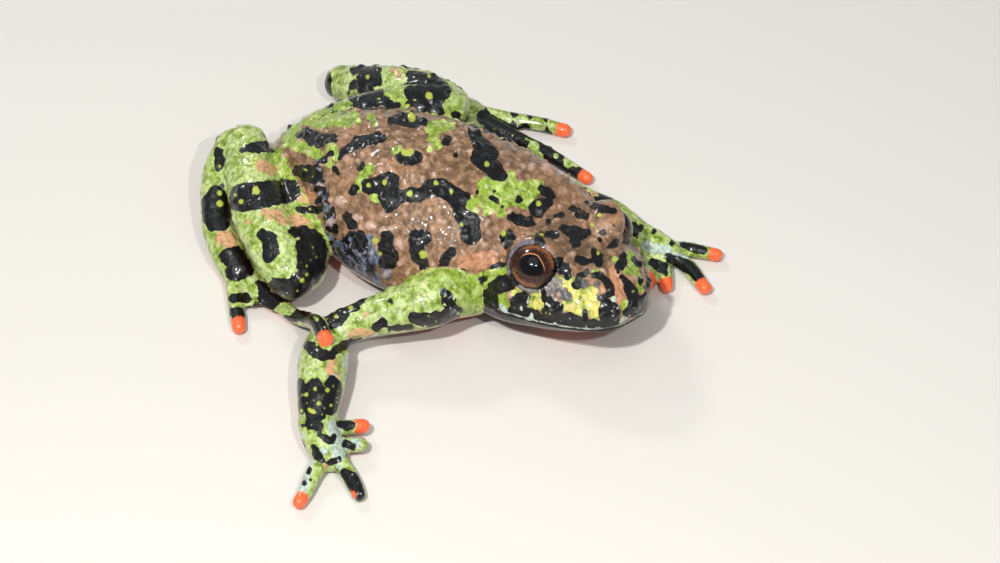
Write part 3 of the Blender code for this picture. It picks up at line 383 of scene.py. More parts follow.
        (26.9, 20.4, 1.46), (28.6, 20.1, 1.39), (30.1, 19.9, 1.25)), ((22.8, 15.8, 0.52),
        (23, 16.9, 0.62), (22.7, 17.5, 0.42)), ((22.5, 19.9, 0.62), (21.9, 21, 0.94),
        (21.8, 22.3, 0.94), (22.3, 23.3, 0.83)), ((23.2, 20.5, 0.73), (23.2, 21.5, 0.94),
        (23.1, 23.1, 0.94)), ((31, 17.8, 0.62), (32.1, 18.1, 0.94), (33.1, 18.5, 0.83)),
        ((31.1, 21.8, 0.33), (32.1, 21.9, 0.42), (33.3, 21.9, 0.57)), ((27.4, 24.5, 0.62),
        (28.1, 25, 0.89), (28.3, 26.1, 0.89), (27.9, 26.8, 0.62)), ((30.5, 24.1, 0.47),
        (31.6, 24.3, 0.83), (32.6, 25, 1.04), (33.1, 26.4, 1.15), (32.9, 27.8, 1.15), (32, 29, 1.15),
        (30.9, 29.3, 0.83)), ((31.7, 25.6, 0.94), (31.8, 27.4, 1.04)), ((27.2, 29.9, 0.83),
        (28.5, 30.2, 1.35), (30, 30.5, 1.46), (31.5, 30.2, 1.35)), ((28.1, 31.6, 0.73),
        (27.3, 31.1, 0.52)), ((31.2, 31.7, 0.94), (32.1, 32.4, 0.73)), ((23.8, 26.8, 0.94),
        (24.8, 26.8, 1.25), (25.5, 28, 1.04), (24.4, 28.4, 0.94)), ((24.3, 31.1, 0.52),
        (25.6, 31.1, 0.62)), ((24.6, 32.5, 0.73), (25.2, 32.9, 0.68), (24.8, 33.3, 0.62)),
        ((30.8, 32.7, 0.47), (31.7, 33.1, 0.52), (32.3, 33.5, 0.42)), ((32.1, 32.9, 0.62),
        (32.8, 33.4, 0.83), (33.4, 34.3, 0.83)), ((29.7, 33.1, 0.31), (30.9, 33.3, 0.31)),
    ), (
        (33.5, 19.7, 0.52), (33.8, 23.1, 0.42), (26.7, 31.9, 0.42),
    )),
    Marks(Group.LEG_RIGHT, Paint.CLEAR, (
        ((29.3, 24.9, 0.52), (29.9, 25.5, 0.83), (30.1, 27.1, 0.89), (29.8, 28.3, 0.57)),
        ((26.7, 27.2, 0.42), (27.3, 27.9, 0.73), (27.9, 28.9, 0.47)), ((26.1, 29.2, 0.42),
        (26.4, 30.5, 0.47)), ((29.5, 31.6, 0.42), (30.4, 32, 0.52)), ((24.2, 31.8, 0.2),
        (25.1, 31.7, 0.24), (25.9, 32, 0.21)), ((32.6, 32.8, 0.18), (33, 33.3, 0.18)),
    )),
    Marks(Group.LEG_RIGHT, Paint.RUST, (
        ((27.2, 17.3, 0.62), (28.2, 17.6, 0.68)), ((27.5, 22.2, 0.42), (28.9, 22.5, 0.68),
        (29.6, 23.1, 0.42)), ((23.4, 24.8, 0.94), (24.2, 25.3, 0.68)), ((31, 20.2, 0.83),
        (32.2, 20.6, 0.68)), ((30.8, 22.9, 0.73), (31.9, 23.5, 0.62)), ((30.5, 15.6, 0.68),
        (31.4, 16.4, 0.62)),
    ), (
        (26, 23.2, 0.26),
    )),
    Marks(Group.LEG_RIGHT, Paint.GREY, (), (
        (23.1, 19.4, 0.31),
    )),
    Marks(Group.LEG_RIGHT, Paint.DOT, (), (
        (26.7, 19.9, 0.38), (25.1, 21, 0.26), (24.5, 20.3, 0.18), (22.9, 20.1, 0.27), (22.9, 21.2, 0.35),
        (30.3, 18.6, 0.21), (31.9, 17.7, 0.12), (32.8, 18.4, 0.1), (32.3, 27.1, 0.1), (32, 27.7, 0.14),
        (31.9, 28.6, 0.18), (31.4, 29.2, 0.23), (30.7, 28, 0.12), (32.9, 26.8, 0.1), (31, 30.3, 0.1),
        (32.6, 25.8, 0.08), (28.1, 20.7, 0.09), (29.4, 19.2, 0.1), (22.9, 17.3, 0.19), (32.3, 21.8, 0.12),
        (29.5, 30.8, 0.08), (31.4, 27.3, 0.08),
    )),
    # small pale specks on the right leg, partly painted highlights
    Marks(Group.LEG_RIGHT, Paint.SPECK, (), (
        (27, 20.7, 0.15), (23.5, 19.6, 0.15), (24.1, 23.1, 0.14), (33.8, 34.1, 0.12), (29.3, 30.5, 0.09),
        (29.9, 30.5, 0.09),
    )),
    Marks(Group.LEG_RIGHT, Paint.ORANGE, (), (
        (24.9, 34.2, 0.81), (34.1, 35.8, 0.62),
    )),
    Marks(Group.LEG_LEFT, Paint.BLACK, (
        ((50.6, 11.5, 0.31), (51, 12.3, 0.36)), ((53.4, 11.5, 0.33), (53.8, 12.7, 0.36)),
        ((55.1, 11.9, 0.26), (55.4, 12.9, 0.31)), ((56.8, 12.3, 0.26), (57, 13.3, 0.26)),
        ((38.1, 8.3, 0.83), (39, 8.3, 0.83)), ((43.8, 8.8, 0.73), (45.4, 9.2, 0.83)), ((34.1, 7.9, 0.47),
        (34, 9.4, 0.52), (34.3, 10.8, 0.52)), ((37.1, 7.3, 0.62), (38.3, 6.9, 0.62), (39.3, 7.3, 0.52)),
        ((36.9, 8.8, 0.52), (36.7, 10.2, 0.52)), ((37.7, 9.2, 0.94), (39, 9.4, 0.94)),
        ((37.5, 10.8, 0.73), (38.8, 11, 0.73), (40, 11.2, 0.62)), ((40.1, 10.6, 0.62),
        (41.2, 11, 0.62)), ((43, 7.9, 0.73), (44.3, 7.9, 0.83), (45.5, 8.5, 0.83), (46.4, 9.6, 0.73)),
        ((42.9, 9.6, 0.83), (44.3, 9.6, 0.94), (45.5, 10.2, 0.94)), ((42.7, 11.2, 0.73), (44.2, 11.2, 0.83),
        (45.6, 11.5, 0.73)), ((47.4, 12.2, 0.62), (46.9, 12.9, 0.42)), ((49.6, 9.9, 0.52),
        (51, 10.3, 0.42)), ((50.4, 12.2, 0.83), (51.5, 12.9, 1.04), (52.4, 14, 0.94)),
        ((52.9, 13.1, 0.73), (54.2, 13.5, 0.83), (55.6, 13.9, 0.73), (57.1, 14, 0.52)),
        ((53.3, 14.8, 0.94), (54.6, 15.4, 0.83)), ((56.2, 14.8, 0.73), (57.3, 15.8, 0.73),
        (58.3, 16.2, 0.52)), ((57.1, 16.7, 0.73), (58.3, 17.3, 0.62), (59.8, 18.1, 0.62),
        (60.4, 17.9, 0.52)),
    ), (
        (54.2, 14.2, 0.62),
    )),
    Marks(Group.LEG_LEFT, Paint.CLEAR, (
        ((35.4, 7.1, 0.94), (35.5, 8.3, 0.78), (35.4, 9.6, 0.42)), ((40.4, 7.6, 0.62), (41.7, 7.5, 0.62)),
        ((47.7, 10.2, 0.83), (48.3, 11, 0.73)), ((49, 11, 0.52), (50.2, 11, 0.42)),
        ((48.8, 12.3, 0.62), (49.4, 12.9, 0.31)), ((51.2, 11.2, 0.52), (52.3, 11.8, 0.62),
        (52.9, 12.4, 0.42)), ((55.7, 12.9, 0.62), (56.4, 13.1, 0.52)),
    ), (
        (41, 9, 0.94), (41.2, 10, 0.62), (54.1, 12.5, 0.52), (57.5, 13.1, 0.52), (55.6, 15.3, 0.62),
        (57.9, 16.2, 0.31), (59.2, 17, 0.52),
    )),
    Marks(Group.LEG_LEFT, Paint.DOT, (), (
        (38.3, 8, 0.24), (37.1, 9.6, 0.27), (44.7, 10, 0.38), (42.5, 11.2, 0.33), (44.7, 7.9, 0.19),
        (51.5, 13.5, 0.1), (53.3, 14.1, 0.12),
    )),
    Marks(Group.LEG_LEFT, Paint.RUST, (
        ((41, 7.3, 0.31), (41.7, 7.9, 0.31)), ((44.8, 11.8, 0.42), (46.1, 11.9, 0.42)),
    )),
    Marks(Group.LEG_LEFT, Paint.ORANGE, (), (
        (58.9, 13.6, 0.73), (61.2, 18.4, 0.78),
    )),
    Marks(Group.ARM_LEFT, Paint.BLACK, (
        ((62.9, 20, 0.62), (63.8, 20.8, 0.62), (64.4, 21.9, 0.52)), ((57.9, 18.5, 0.42),
        (58.9, 18.8, 0.42)), ((67.9, 27.3, 0.42), (69, 27.9, 0.62)), ((69.6, 26.7, 0.42),
        (70.6, 27.3, 0.62), (71.9, 27.9, 0.73), (72.9, 28.9, 0.62)), ((71.2, 25.5, 0.42),
        (72.3, 25.8, 0.52), (73.3, 26.1, 0.42)),
    ), (
        (65.4, 22.7, 0.52), (66.7, 23.8, 0.42), (68.1, 24.1, 0.31), (70, 25.3, 0.31), (69.4, 28.5, 0.31),
    )),
    # painted highlights: pale blobs laid on the dark far hand where light glints on it
    Marks(Group.ARM_LEFT, Paint.PALE, (
        ((67.3, 25.6, 0.52), (68.3, 26, 0.52), (69.6, 26, 0.42)), ((70.4, 26.5, 0.31),
        (71.5, 26.9, 0.31)),
    ), (
        (72.9, 27.9, 0.21), (57.8, 19.5, 0.42),
    )),
    Marks(Group.ARM_LEFT, Paint.RUST, (), (
        (61.7, 20.5, 0.62),
    )),
    Marks(Group.ARM_LEFT, Paint.ORANGE, (
        ((67.5, 28.6, 0.36), (67.4, 29.6, 0.36)),
    ), (
        (74.5, 26.6, 0.57), (73.4, 29.9, 0.52), (69.1, 29.8, 0.68),
    )),
)


# Plain geometry


def smooth_curve(rows: Rows | Array, count: int) -> Array:
    """Points at even steps on the Catmull-Rom curve through rows.

    Each span is the cubic whose slope at a row is half the step between its two neighbours.

    Args:
        rows: one row of numbers per point.
        count: how many points to return.

    Returns:
        Array of count rows.
    """
    given = np.asarray(rows, dtype=float)
    padded = np.vstack([2 * given[0] - given[1], given, 2 * given[-1] - given[-2]])
    steps = np.linspace(0.0, len(given) - 1.0, count)
    index = np.minimum(steps.astype(int), len(given) - 2)
    t = (steps - index)[:, None]
    a, b, c, d = (padded[index + k] for k in range(4))
    return (2 * b + (c - a) * t + (2 * a - 5 * b + 4 * c - d) * t**2 + (3 * b - a - 3 * c + d) * t**3) / 2


def turned(points: Array, yaw: Array | float, pitch: Array | float, roll: Array | float) -> Array:
    """Points rolled left side down, then pitched nose up, then yawed to the right.

    Args:
        points: points, x, y and z last.
        yaw: turn to the right, degrees.
        pitch: nose up, degrees.
        roll: left side down, degrees.

    Returns:
        Turned points.
    """
    y_angle, p_angle, r_angle = (np.radians(angle) for angle in (yaw, pitch, roll))
    x, y, z = points[..., 0], points[..., 1], points[..., 2]
    x, z = x * np.cos(r_angle) + z * np.sin(r_angle), z * np.cos(r_angle) - x * np.sin(r_angle)
    y, z = y * np.cos(p_angle) + z * np.sin(p_angle), z * np.cos(p_angle) - y * np.sin(p_angle)
    x, y = x * np.cos(y_angle) + y * np.sin(y_angle), y * np.cos(y_angle) - x * np.sin(y_angle)
    return np.stack([x, y, z], axis=-1)


def smoothstep(low: float, high: float, value: Array) -> Array:
    """Rise from 0 at low to 1 at high along the curve 3t^2 - 2t^3."""
    t = np.clip((value - low) / (high - low), 0.0, 1.0)
    return t * t * (3.0 - 2.0 * t)


def lengths(vectors: Array) -> Array:
    """Lengths of the vectors on the last axis."""
    return np.sqrt((vectors**2).sum(axis=-1))


def unit(vectors: Array) -> Array:
    """Vectors on the last axis at length 1."""
    return vectors / np.maximum(lengths(vectors), 1e-12)[..., None]


@dataclass
class Surface:
    """A closed surface in millimetres."""

    points: Array
    faces: Array


def closed_grid(rings: Array) -> Surface:
    """Close rings of points along their length, with each end drawn together to a point.

    Args:
        rings: array of rings, points per ring, 3.

    Returns:
        Surface whose faces join each ring to the next.
    """
    first = np.broadcast_to(rings[0].mean(axis=0), rings[0].shape)
    last = np.broadcast_to(rings[-1].mean(axis=0), rings[-1].shape)
    grid = np.concatenate([first[None], rings, last[None]])
    count, sides = grid.shape[:2]
    row, column = np.meshgrid(np.arange(count - 1), np.arange(sides), indexing="ij")
    after = (column + 1) % sides
    corners = [row * sides + column, row * sides + after]
    corners += [(row + 1) * sides + after, (row + 1) * sides + column]
    return Surface(grid.reshape(-1, 3), np.stack(corners, axis=-1).reshape(-1, 4))


def tube(rows: Rows | Array, sides: int = 40, steps: int = 60) -> Surface:
    """Limb of round section: a circle carried along a Catmull-Rom path, with a half ball at each end.

    Args:
        rows: x, y, z and radius of each point of the path.
        sides: points round the limb.
        steps: rings along it.

    Returns:
        Closed surface.
    """
    path = smooth_curve(rows, steps)
    centres, radii = path[:, :3], path[:, 3]
    tangents = unit(np.gradient(centres, axis=0))
    cap = 11
    bow = np.radians(np.linspace(90.0, 0.0, cap + 1, endpoint=False))[1:]
    pick = np.concatenate([np.zeros(cap, int), np.arange(steps), np.full(cap, steps - 1)])
    along = np.concatenate([-np.sin(bow), np.zeros(steps), np.sin(bow[::-1])])
    across = np.concatenate([np.cos(bow), np.ones(steps), np.cos(bow[::-1])])
    reference = np.array([0.13, 0.21, 1.0])
    side = unit(np.cross(tangents, reference))
    other = np.cross(tangents, side)
    angle = np.linspace(0.0, 2 * np.pi, sides, endpoint=False)[None, :, None]
    spokes = side[pick][:, None] * np.cos(angle) + other[pick][:, None] * np.sin(angle)
    size = radii[pick][:, None, None]
    middle = centres[pick][:, None] + tangents[pick][:, None] * along[:, None, None] * size
    return closed_grid(middle + spokes * across[:, None, None] * size)


def ball(centre: Array, radius: float, sides: int = 40) -> Surface:
    """Sphere, as a tube so short that only its two half balls are left.

    Args:
        centre: its centre.
        radius: its radius.
        sides: points round it.

    Returns:
        Closed surface.
    """
    middle = np.asarray(centre, dtype=float)
    step = np.array([0, 0, 0.01 * radius])
    rows = np.array([[*(middle - step), radius], [*(middle + step), radius]])
    return tube(rows, sides=sides, steps=3)


def joined(surfaces: list[Surface]) -> Surface:
    """Several surfaces as one list of points and faces.

    Args:
        surfaces: the surfaces.

    Returns:
        One surface that holds them all.
    """
    starts = np.cumsum([0] + [len(item.points) for item in surfaces[:-1]])
    faces = [item.faces + start for item, start in zip(surfaces, starts)]
    return Surface(np.concatenate([item.points for item in surfaces]), np.concatenate(faces))


def new_object(name: str, points: Array, faces: Array) -> bpy.types.Object:
    """Object at the origin, shaded smooth.

    Args:
        name: name of the object.
        points: points in metres.
        faces: indices of each face's points.

    Returns:
        The object, linked to the scene.
    """
    mesh = bpy.data.meshes.new(name)
    mesh.from_pydata(points.tolist(), [], faces.tolist())
    mesh.update()
    mesh.shade_smooth()
    item = bpy.data.objects.new(name, mesh)
    bpy.context.scene.collection.objects.link(item)
    return item


# The toad's own form


@dataclass
class HeadFrame:
    """Place and turn of the head: its own frame is x left, y back, z up from between the eyes."""

    at: tuple[float, float, float] = (1.3, -18.2, 10.0)
    yaw: float = 18.0
    pitch: float = 12.0
    roll: float = 6.0

    def out(self, points: Array | tuple) -> Array:
        """Points of the head's own frame as points of the toad's frame."""
        return np.array(self.at) + turned(np.asarray(points, dtype=float), self.yaw, self.pitch, self.roll)

    def inward(self, points: Array) -> Array:
        """Points of the toad's frame in the head's own frame."""
        axes = turned(np.eye(3), self.yaw, self.pitch, self.roll)
        return (points - np.array(self.at)) @ axes.T

    def direction(self, vector: tuple[float, float, float]) -> Array:
        """Unit direction of the head's own frame, turned into the toad's frame."""
        return unit(turned(np.asarray(vector, dtype=float), self.yaw, self.pitch, self.roll))


@dataclass
class Trunk:
    """Torso and head as one form: rounded-box sections carried along the body.

    torso holds x, y, z of the widest level, half width, height above, depth below, yaw, pitch, roll;
    head holds the distance ahead of the eyes, level of the widest point, half width, height, depth.
    """

    frame: HeadFrame
    top_power: float = 2.2
    under_power: float = 2.5
    rings: int = 240
    sides: int = 160
    samples: int = 120
    end_gap: float = 0.6
    torso: Rows = (
        (1.4, 18.6, 5.6, 1.2, 1.0, 1.2, 0, 0, 0),
        (1.4, 17.6, 5.4, 3.0, 2.5, 3.0, 0, 0, 0),
        (1.4, 15.0, 5.4, 5.0, 4.4, 4.6, 0, 0, 0),
        (1.3, 11.2, 5.6, 6.9, 6.5, 5.5, 0, 0, 0),
        (1.1, 6.5, 5.7, 8.9, 8.2, 5.9, 0, 0, 0),
        (1.0, 1.2, 5.9, 10.2, 8.7, 6.0, 0, 0, 0),
        (1.2, -4.0, 6.2, 10.3, 8.0, 5.9, 2, 1, 1),
        (1.8, -8.4, 6.6, 9.5, 6.6, 5.4, 7, 4, 2),
        (2.2, -11.6, 6.0, 8.9, 6.3, 4.6, 13, 8, 4),
    )
    head: Rows = (
        (-5.0, -5.2, 8.9, 7.1, 2.9),
        (-2.5, -5.2, 8.5, 6.7, 2.7),
        (0.0, -4.8, 7.6, 5.9, 2.8),
        (2.5, -4.5, 6.6, 5.0, 2.6),
        (4.8, -4.2, 5.3, 3.6, 2.4),
        (6.5, -4.0, 4.1, 2.5, 2.0),
        (7.6, -3.9, 2.8, 1.7, 1.5),
        (8.3, -3.9, 1.0, 0.7, 0.6),
    )

    def stations(self, count: int) -> Array:
        """Sections at even steps from vent to snout.

        Args:
            count: how many sections.

        Returns:
            One row of nine numbers each, laid out as in torso.
        """
        head = np.array(self.head)
        centres = self.frame.out(np.stack([0 * head[:, 0], -head[:, 0], head[:, 1]], axis=-1))
        turn = np.tile([self.frame.yaw, self.frame.pitch, self.frame.roll], (len(head), 1))
        rows = np.vstack([np.array(self.torso, dtype=float), np.hstack([centres, head[:, 2:], turn])])
        return smooth_curve(rows, count)

    def surface(self) -> Surface:
        """Each section is the curve |x/a|^p + |z/b|^p = 1, with its own b and p above and below.

        Returns:
            Closed surface of torso and head.
        """
        rows = self.stations(self.rings)
        angle = np.linspace(0.0, 2 * np.pi, self.sides, endpoint=False)[None, :]
        upper = np.sin(angle) > 0
        power = 2.0 / np.where(upper, self.top_power, self.under_power)
        x = np.sign(np.cos(angle)) * np.abs(np.cos(angle)) ** power * rows[:, 3:4]
        reach = np.where(upper, rows[:, 4:5], rows[:, 5:6])
        z = np.sign(np.sin(angle)) * np.abs(np.sin(angle)) ** power * reach
        flat = np.stack([x, 0 * x, z], axis=-1)
        turn = (rows[:, 6:7], rows[:, 7:8], rows[:, 8:9])
        return closed_grid(rows[:, None, :3] + turned(flat, *turn))

    def place(self, points: Array) -> tuple[Array, Array, Array]:
        """Where points lie on the trunk.

        The nearest section is the one whose plane is closest; the distance is its curve's own
        value, scaled to millimetres.

        Args:
            points: points in the toad's frame.

        Returns:
            Signed distance from the trunk's surface, share along the trunk from vent to snout, and
            height over the widest level as a share of the section's height or depth.
        """
        rows = self.stations(self.samples)
        axes = turned(np.array([0.0, 1.0, 0.0]), rows[:, 6], rows[:, 7], rows[:, 8])
        offset = points @ axes.T - (rows[:, :3] * axes).sum(axis=1)
        nearest = np.abs(offset).argmin(axis=1)
        ring = rows[nearest]
        left = turned(np.array([1.0, 0.0, 0.0]), ring[:, 6], ring[:, 7], ring[:, 8])
        up = turned(np.array([0.0, 0.0, 1.0]), ring[:, 6], ring[:, 7], ring[:, 8])
        spoke = points - ring[:, :3]
        x = (spoke * left).sum(axis=1)
        z = (spoke * up).sum(axis=1)
        reach = np.where(z > 0, ring[:, 4], ring[:, 5])
        power = np.where(z > 0, self.top_power, self.under_power)
        value = (np.abs(x / ring[:, 3]) ** power + np.abs(z / reach) ** power) ** (1 / power)
        radial = np.hypot(x, z)
        beyond = np.abs(offset[np.arange(len(points)), nearest])
        inside = radial * (1 - 1 / np.maximum(value, 1e-6))
        distance = inside + np.where(beyond > self.end_gap, beyond, 0.0)
        return distance, nearest / (len(rows) - 1.0), z / reach


@dataclass
class Limbs:
    """Arms, legs, hands and feet: rows of x, y, z, radius from the body outwards."""

    paths: dict[Region, dict[str, Rows]] = field(default_factory=dict)
    web_thickness: float = 0.5
    web_reach: float = 0.55
    web_draw: float = 0.35
    web_drop: float = 0.1
    dark_tips: tuple = ((Region.HAND_RIGHT, "finger_2"), (Region.HAND_RIGHT, "finger_3"))

    def __post_init__(self) -> None:
        """Fill the table of paths."""
        self.paths = {
            Region.ARM_RIGHT: {"limb": (
                (-5.0, -9.4, 4.6, 2.8), (-7.4, -8.0, 5.6, 3.0), (-9.6, -7.1, 5.7, 2.85),
                (-11.9, -4.9, 5.1, 2.35), (-14.4, -2.2, 4.4, 1.95), (-16.9, -0.2, 3.5, 1.9))},
            Region.FOREARM_RIGHT: {"limb": (
                (-17.0, -0.2, 3.3, 2.0), (-19.2, -0.9, 3.1, 2.45), (-22.0, -2.4, 3.0, 2.5),
                (-24.6, -3.8, 2.6, 2.2), (-26.6, -5.0, 2.1, 1.85))},
            Region.HAND_RIGHT: {
                "palm": ((-26.7, -4.8, 2.1, 1.8), (-27.9, -6.3, 1.8, 1.9), (-28.9, -8.0, 1.3, 1.65)),
                "finger_1": ((-26.6, -6.2, 1.7, 0.9), (-25.3, -7.4, 1.6, 0.8), (-24.1, -8.7, 1.5, 0.75)),
                "finger_2": ((-28.0, -7.2, 1.5, 0.9), (-27.1, -8.6, 1.5, 0.8), (-26.1, -9.8, 1.3, 0.75)),
                "finger_3": ((-28.6, -8.2, 1.3, 0.95), (-29.6, -10.4, 1.1, 0.85), (-30.5, -12.0, 0.85, 0.8),
                             (-31.2, -12.9, 0.8, 0.7)),
                "finger_4": ((-29.0, -7.6, 1.3, 0.95), (-31.4, -7.8, 1.1, 0.85), (-33.6, -8.3, 0.9, 0.75),
                             (-35.1, -8.5, 0.8, 0.7))},
            Region.ARM_LEFT: {"limb": (
                (7.0, -6.0, 6.6, 2.5), (10.2, -8.0, 5.2, 2.3), (11.9, -10.6, 4.0, 2.0),
                (13.0, -13.0, 2.9, 1.8))},
            Region.FOREARM_LEFT: {"limb": (
                (13.1, -13.2, 2.8, 1.8), (13.2, -15.2, 2.5, 1.95), (13.0, -17.4, 2.2, 1.8),
                (12.8, -19.4, 1.9, 1.55))},
            Region.HAND_LEFT: {
                "palm": ((12.8, -19.4, 2.0, 1.6), (12.8, -21.0, 1.6, 1.7), (13.0, -22.6, 1.2, 1.5)),
                "finger_1": ((12.0, -20.6, 1.3, 0.85), (10.1, -22.0, 1.1, 0.8), (8.4, -22.8, 0.8, 0.7)),
                "finger_2": ((12.4, -21.6, 1.2, 0.85), (10.8, -23.3, 1.0, 0.8), (9.1, -24.6, 0.8, 0.7)),
                "finger_3": ((12.9, -22.4, 1.2, 0.9), (12.6, -25.0, 1.0, 0.85), (11.0, -28.1, 0.8, 0.7)),
                "finger_4": ((13.4, -22.0, 1.2, 0.9), (14.8, -24.2, 1.0, 0.8), (15.8, -26.8, 0.8, 0.7))},
            Region.THIGH_RIGHT: {"limb": (
                (-0.4, 14.7, 5.4, 3.4), (-3.4, 12.5, 5.2, 3.3), (-7.4, 9.7, 4.8, 3.1),
                (-11.7, 7.2, 4.5, 2.75))},
            Region.SHANK_RIGHT: {"limb": (
                (-13.3, 7.1, 4.9, 2.55), (-12.2, 9.4, 5.8, 2.85), (-9.1, 13.6, 6.3, 3.05),
                (-5.4, 17.5, 6.7, 2.75), (-1.9, 20.6, 6.9, 2.3))},
            Region.TARSUS_RIGHT: {"limb": (
                (-2.2, 22.2, 6.4, 1.8), (-5.2, 22.0, 5.0, 1.7), (-8.2, 20.4, 3.7, 1.6),
                (-10.6, 18.5, 2.6, 1.6))},
            Region.FOOT_RIGHT: {
                "sole": ((-10.5, 18.4, 2.6, 1.7), (-11.9, 16.4, 2.1, 1.85), (-13.2, 14.2, 1.4, 1.75)),
                "toe_1": ((-10.8, 15.8, 1.2, 0.8), (-10.4, 13.0, 0.9, 0.7), (-9.8, 10.8, 0.8, 0.65)),
                "toe_2": ((-11.6, 15.2, 1.2, 0.8), (-11.4, 11.4, 0.9, 0.7), (-10.8, 8.0, 0.8, 0.65)),
                "toe_3": ((-12.4, 14.8, 1.2, 0.85), (-12.8, 11.8, 0.95, 0.8), (-12.9, 9.0, 0.85, 0.7)),
                "toe_4": ((-13.0, 14.2, 1.3, 0.95), (-14.0, 9.8, 1.0, 0.85), (-15.2, 5.8, 1.3, 0.8),
                          (-16.2, 3.0, 3.0, 0.8), (-17.8, 0.8, 5.3, 0.8), (-19.7, -1.5, 6.0, 0.7)),
                "toe_5": ((-13.4, 14.6, 1.3, 0.9), (-15.6, 13.0, 1.1, 0.85), (-17.6, 11.3, 0.9, 0.8),
                          (-19.2, 9.9, 0.8, 0.75))},
            Region.THIGH_LEFT: {"limb": (
                (3.4, 14.4, 6.0, 3.5), (7.2, 11.6, 6.9, 3.5), (10.6, 8.4, 7.6, 3.1),
                (13.2, 5.4, 7.9, 2.5))},
            Region.SHANK_LEFT: {"limb": (
                (13.8, 5.4, 7.6, 2.4), (14.3, 8.6, 6.9, 2.75), (14.3, 12.4, 5.9, 2.7),
                (14.4, 16.4, 4.4, 2.3), (14.7, 19.8, 3.0, 1.9))},
            Region.TARSUS_LEFT: {"limb": (
                (15.2, 20.0, 3.0, 1.7), (17.0, 17.4, 2.6, 1.5), (18.2, 14.0, 2.2, 1.45),
                (18.8, 11.0, 1.9, 1.45))},
            Region.FOOT_LEFT: {
                "sole": ((18.8, 11.0, 1.8, 1.4), (19.2, 8.6, 1.6, 1.6), (19.5, 6.2, 1.3, 1.7)),
                "toe_1": ((18.4, 8.0, 1.2, 0.8), (16.8, 5.4, 0.9, 0.7), (15.6, 3.4, 0.8, 0.65)),
                "toe_2": ((18.8, 7.2, 1.2, 0.8), (17.2, 3.4, 0.9, 0.7), (15.8, 0.4, 0.8, 0.65)),
                "toe_3": ((19.2, 6.6, 1.2, 0.85), (17.9, 1.6, 0.9, 0.75), (16.4, -3.4, 0.8, 0.65)),
                "toe_4": ((19.5, 6.2, 1.3, 0.95), (19.4, 1.0, 1.0, 0.85), (19.0, -4.6, 0.9, 0.8),
                          (18.3, -9.4, 0.8, 0.7)),
                "toe_5": ((19.9, 6.6, 1.3, 0.9), (21.3, 2.8, 1.0, 0.85), (22.6, -0.8, 0.9, 0.8),
                          (23.3, -3.6, 0.8, 0.75))},
        }

    def web(self, first: Rows, second: Rows) -> Surface:
        """Thin vane between two toes.

        A point is a mix of the two toes' curves at the same reach; the reach falls by a half sine
        towards the middle, so that the free edge is drawn in.

        Args:
            first: rows of one toe.
            second: rows of the other.

        Returns:
            Closed surface with the vane's thickness.
        """
        steps, across, samples = 24, 14, 200
        share = np.linspace(0.0, 1.0, across)
        reach = self.web_reach * (1 - self.web_draw * np.sin(np.pi * share))
        along = np.linspace(0.0, 1.0, steps)[:, None] * reach[None, :]
        sheet = np.zeros((steps, across, 3))
        for rows, part in ((first, 1 - share), (second, share)):
            fine = smooth_curve(rows, samples + 1)[:, :3]
            sheet += fine[np.rint(along * samples).astype(int)] * part[None, :, None]
        sheet[..., 2] -= self.web_drop
        half = np.array([0.0, 0.0, self.web_thickness / 2])
        return closed_grid(np.concatenate([sheet + half, (sheet - half)[:, ::-1]], axis=1))

    def surfaces(self) -> list[Surface]:
        """Every limb, digit and web.

        Returns:
            One closed surface each.
        """
        made = []
        for paths in self.paths.values():
            for name, rows in paths.items():
                made.append(tube(rows, sides=48 if name in ("limb", "palm", "sole") else 28))
            if "sole" in paths:
                toes = [rows for name, rows in paths.items() if name != "sole"]
                made += [self.web(first, second) for first, second in zip(toes[:-1], toes[1:])]
        return made

    def distance(self, points: Array, region: Region) -> Array:
        """Distance of points from one region's tubes.

        Args:
            points: points in the toad's frame.
            region: a region of the limbs.

        Returns:
            Signed distance per point, negative inside.
        """
        best = np.full(len(points), 1e3)
        for rows in self.paths[region].values():
            path = smooth_curve(rows, 24)
            best = np.minimum(best, capsule_distance(points, path[:-1], path[1:]))
        return best

    def tip_distance(self, points: Array, length: float) -> Array:
        """Distance of points from the coloured tips of all fingers and toes but the dark ones.

        Args:
            points: points in the toad's frame.
            length: how far the colour reaches past the tip's own radius.

        Returns:
            Signed distance per point, negative on a tip.
        """
        best = np.full(len(points), 1e3)
        for region, paths in self.paths.items():
            for name, rows in paths.items():
                if name.startswith(("finger", "toe")) and (region, name) not in self.dark_tips:
                    end = np.array(rows[-1])
                    best = np.minimum(best, lengths(points - end[:3]) - end[3] - length)
        return best


def capsule_distance(points: Array, starts: Array, ends: Array) -> Array:
    """Least distance of each point from segments that taper from one radius to the other.

    The nearest point of a segment is the projection held between its ends, and the radius there,
    mixed from the two ends, is taken off.

    Args:
        points: points of two or three coordinates.
        starts: start of each segment, with its radius last.
        ends: end of each segment, with its radius last.

    Returns:
        Signed distance per point, negative inside.
    """
    best = np.full(len(points), 1e3)
    for start, end in zip(starts, ends):
        axis = end[:-1] - start[:-1]
        t = np.clip((points - start[:-1]) @ axis / max(axis @ axis, 1e-9), 0.0, 1.0)
        gap = lengths(points - start[:-1] - t[:, None] * axis)
        best = np.minimum(best, gap - start[-1] - t * (end[-1] - start[-1]))
    return best


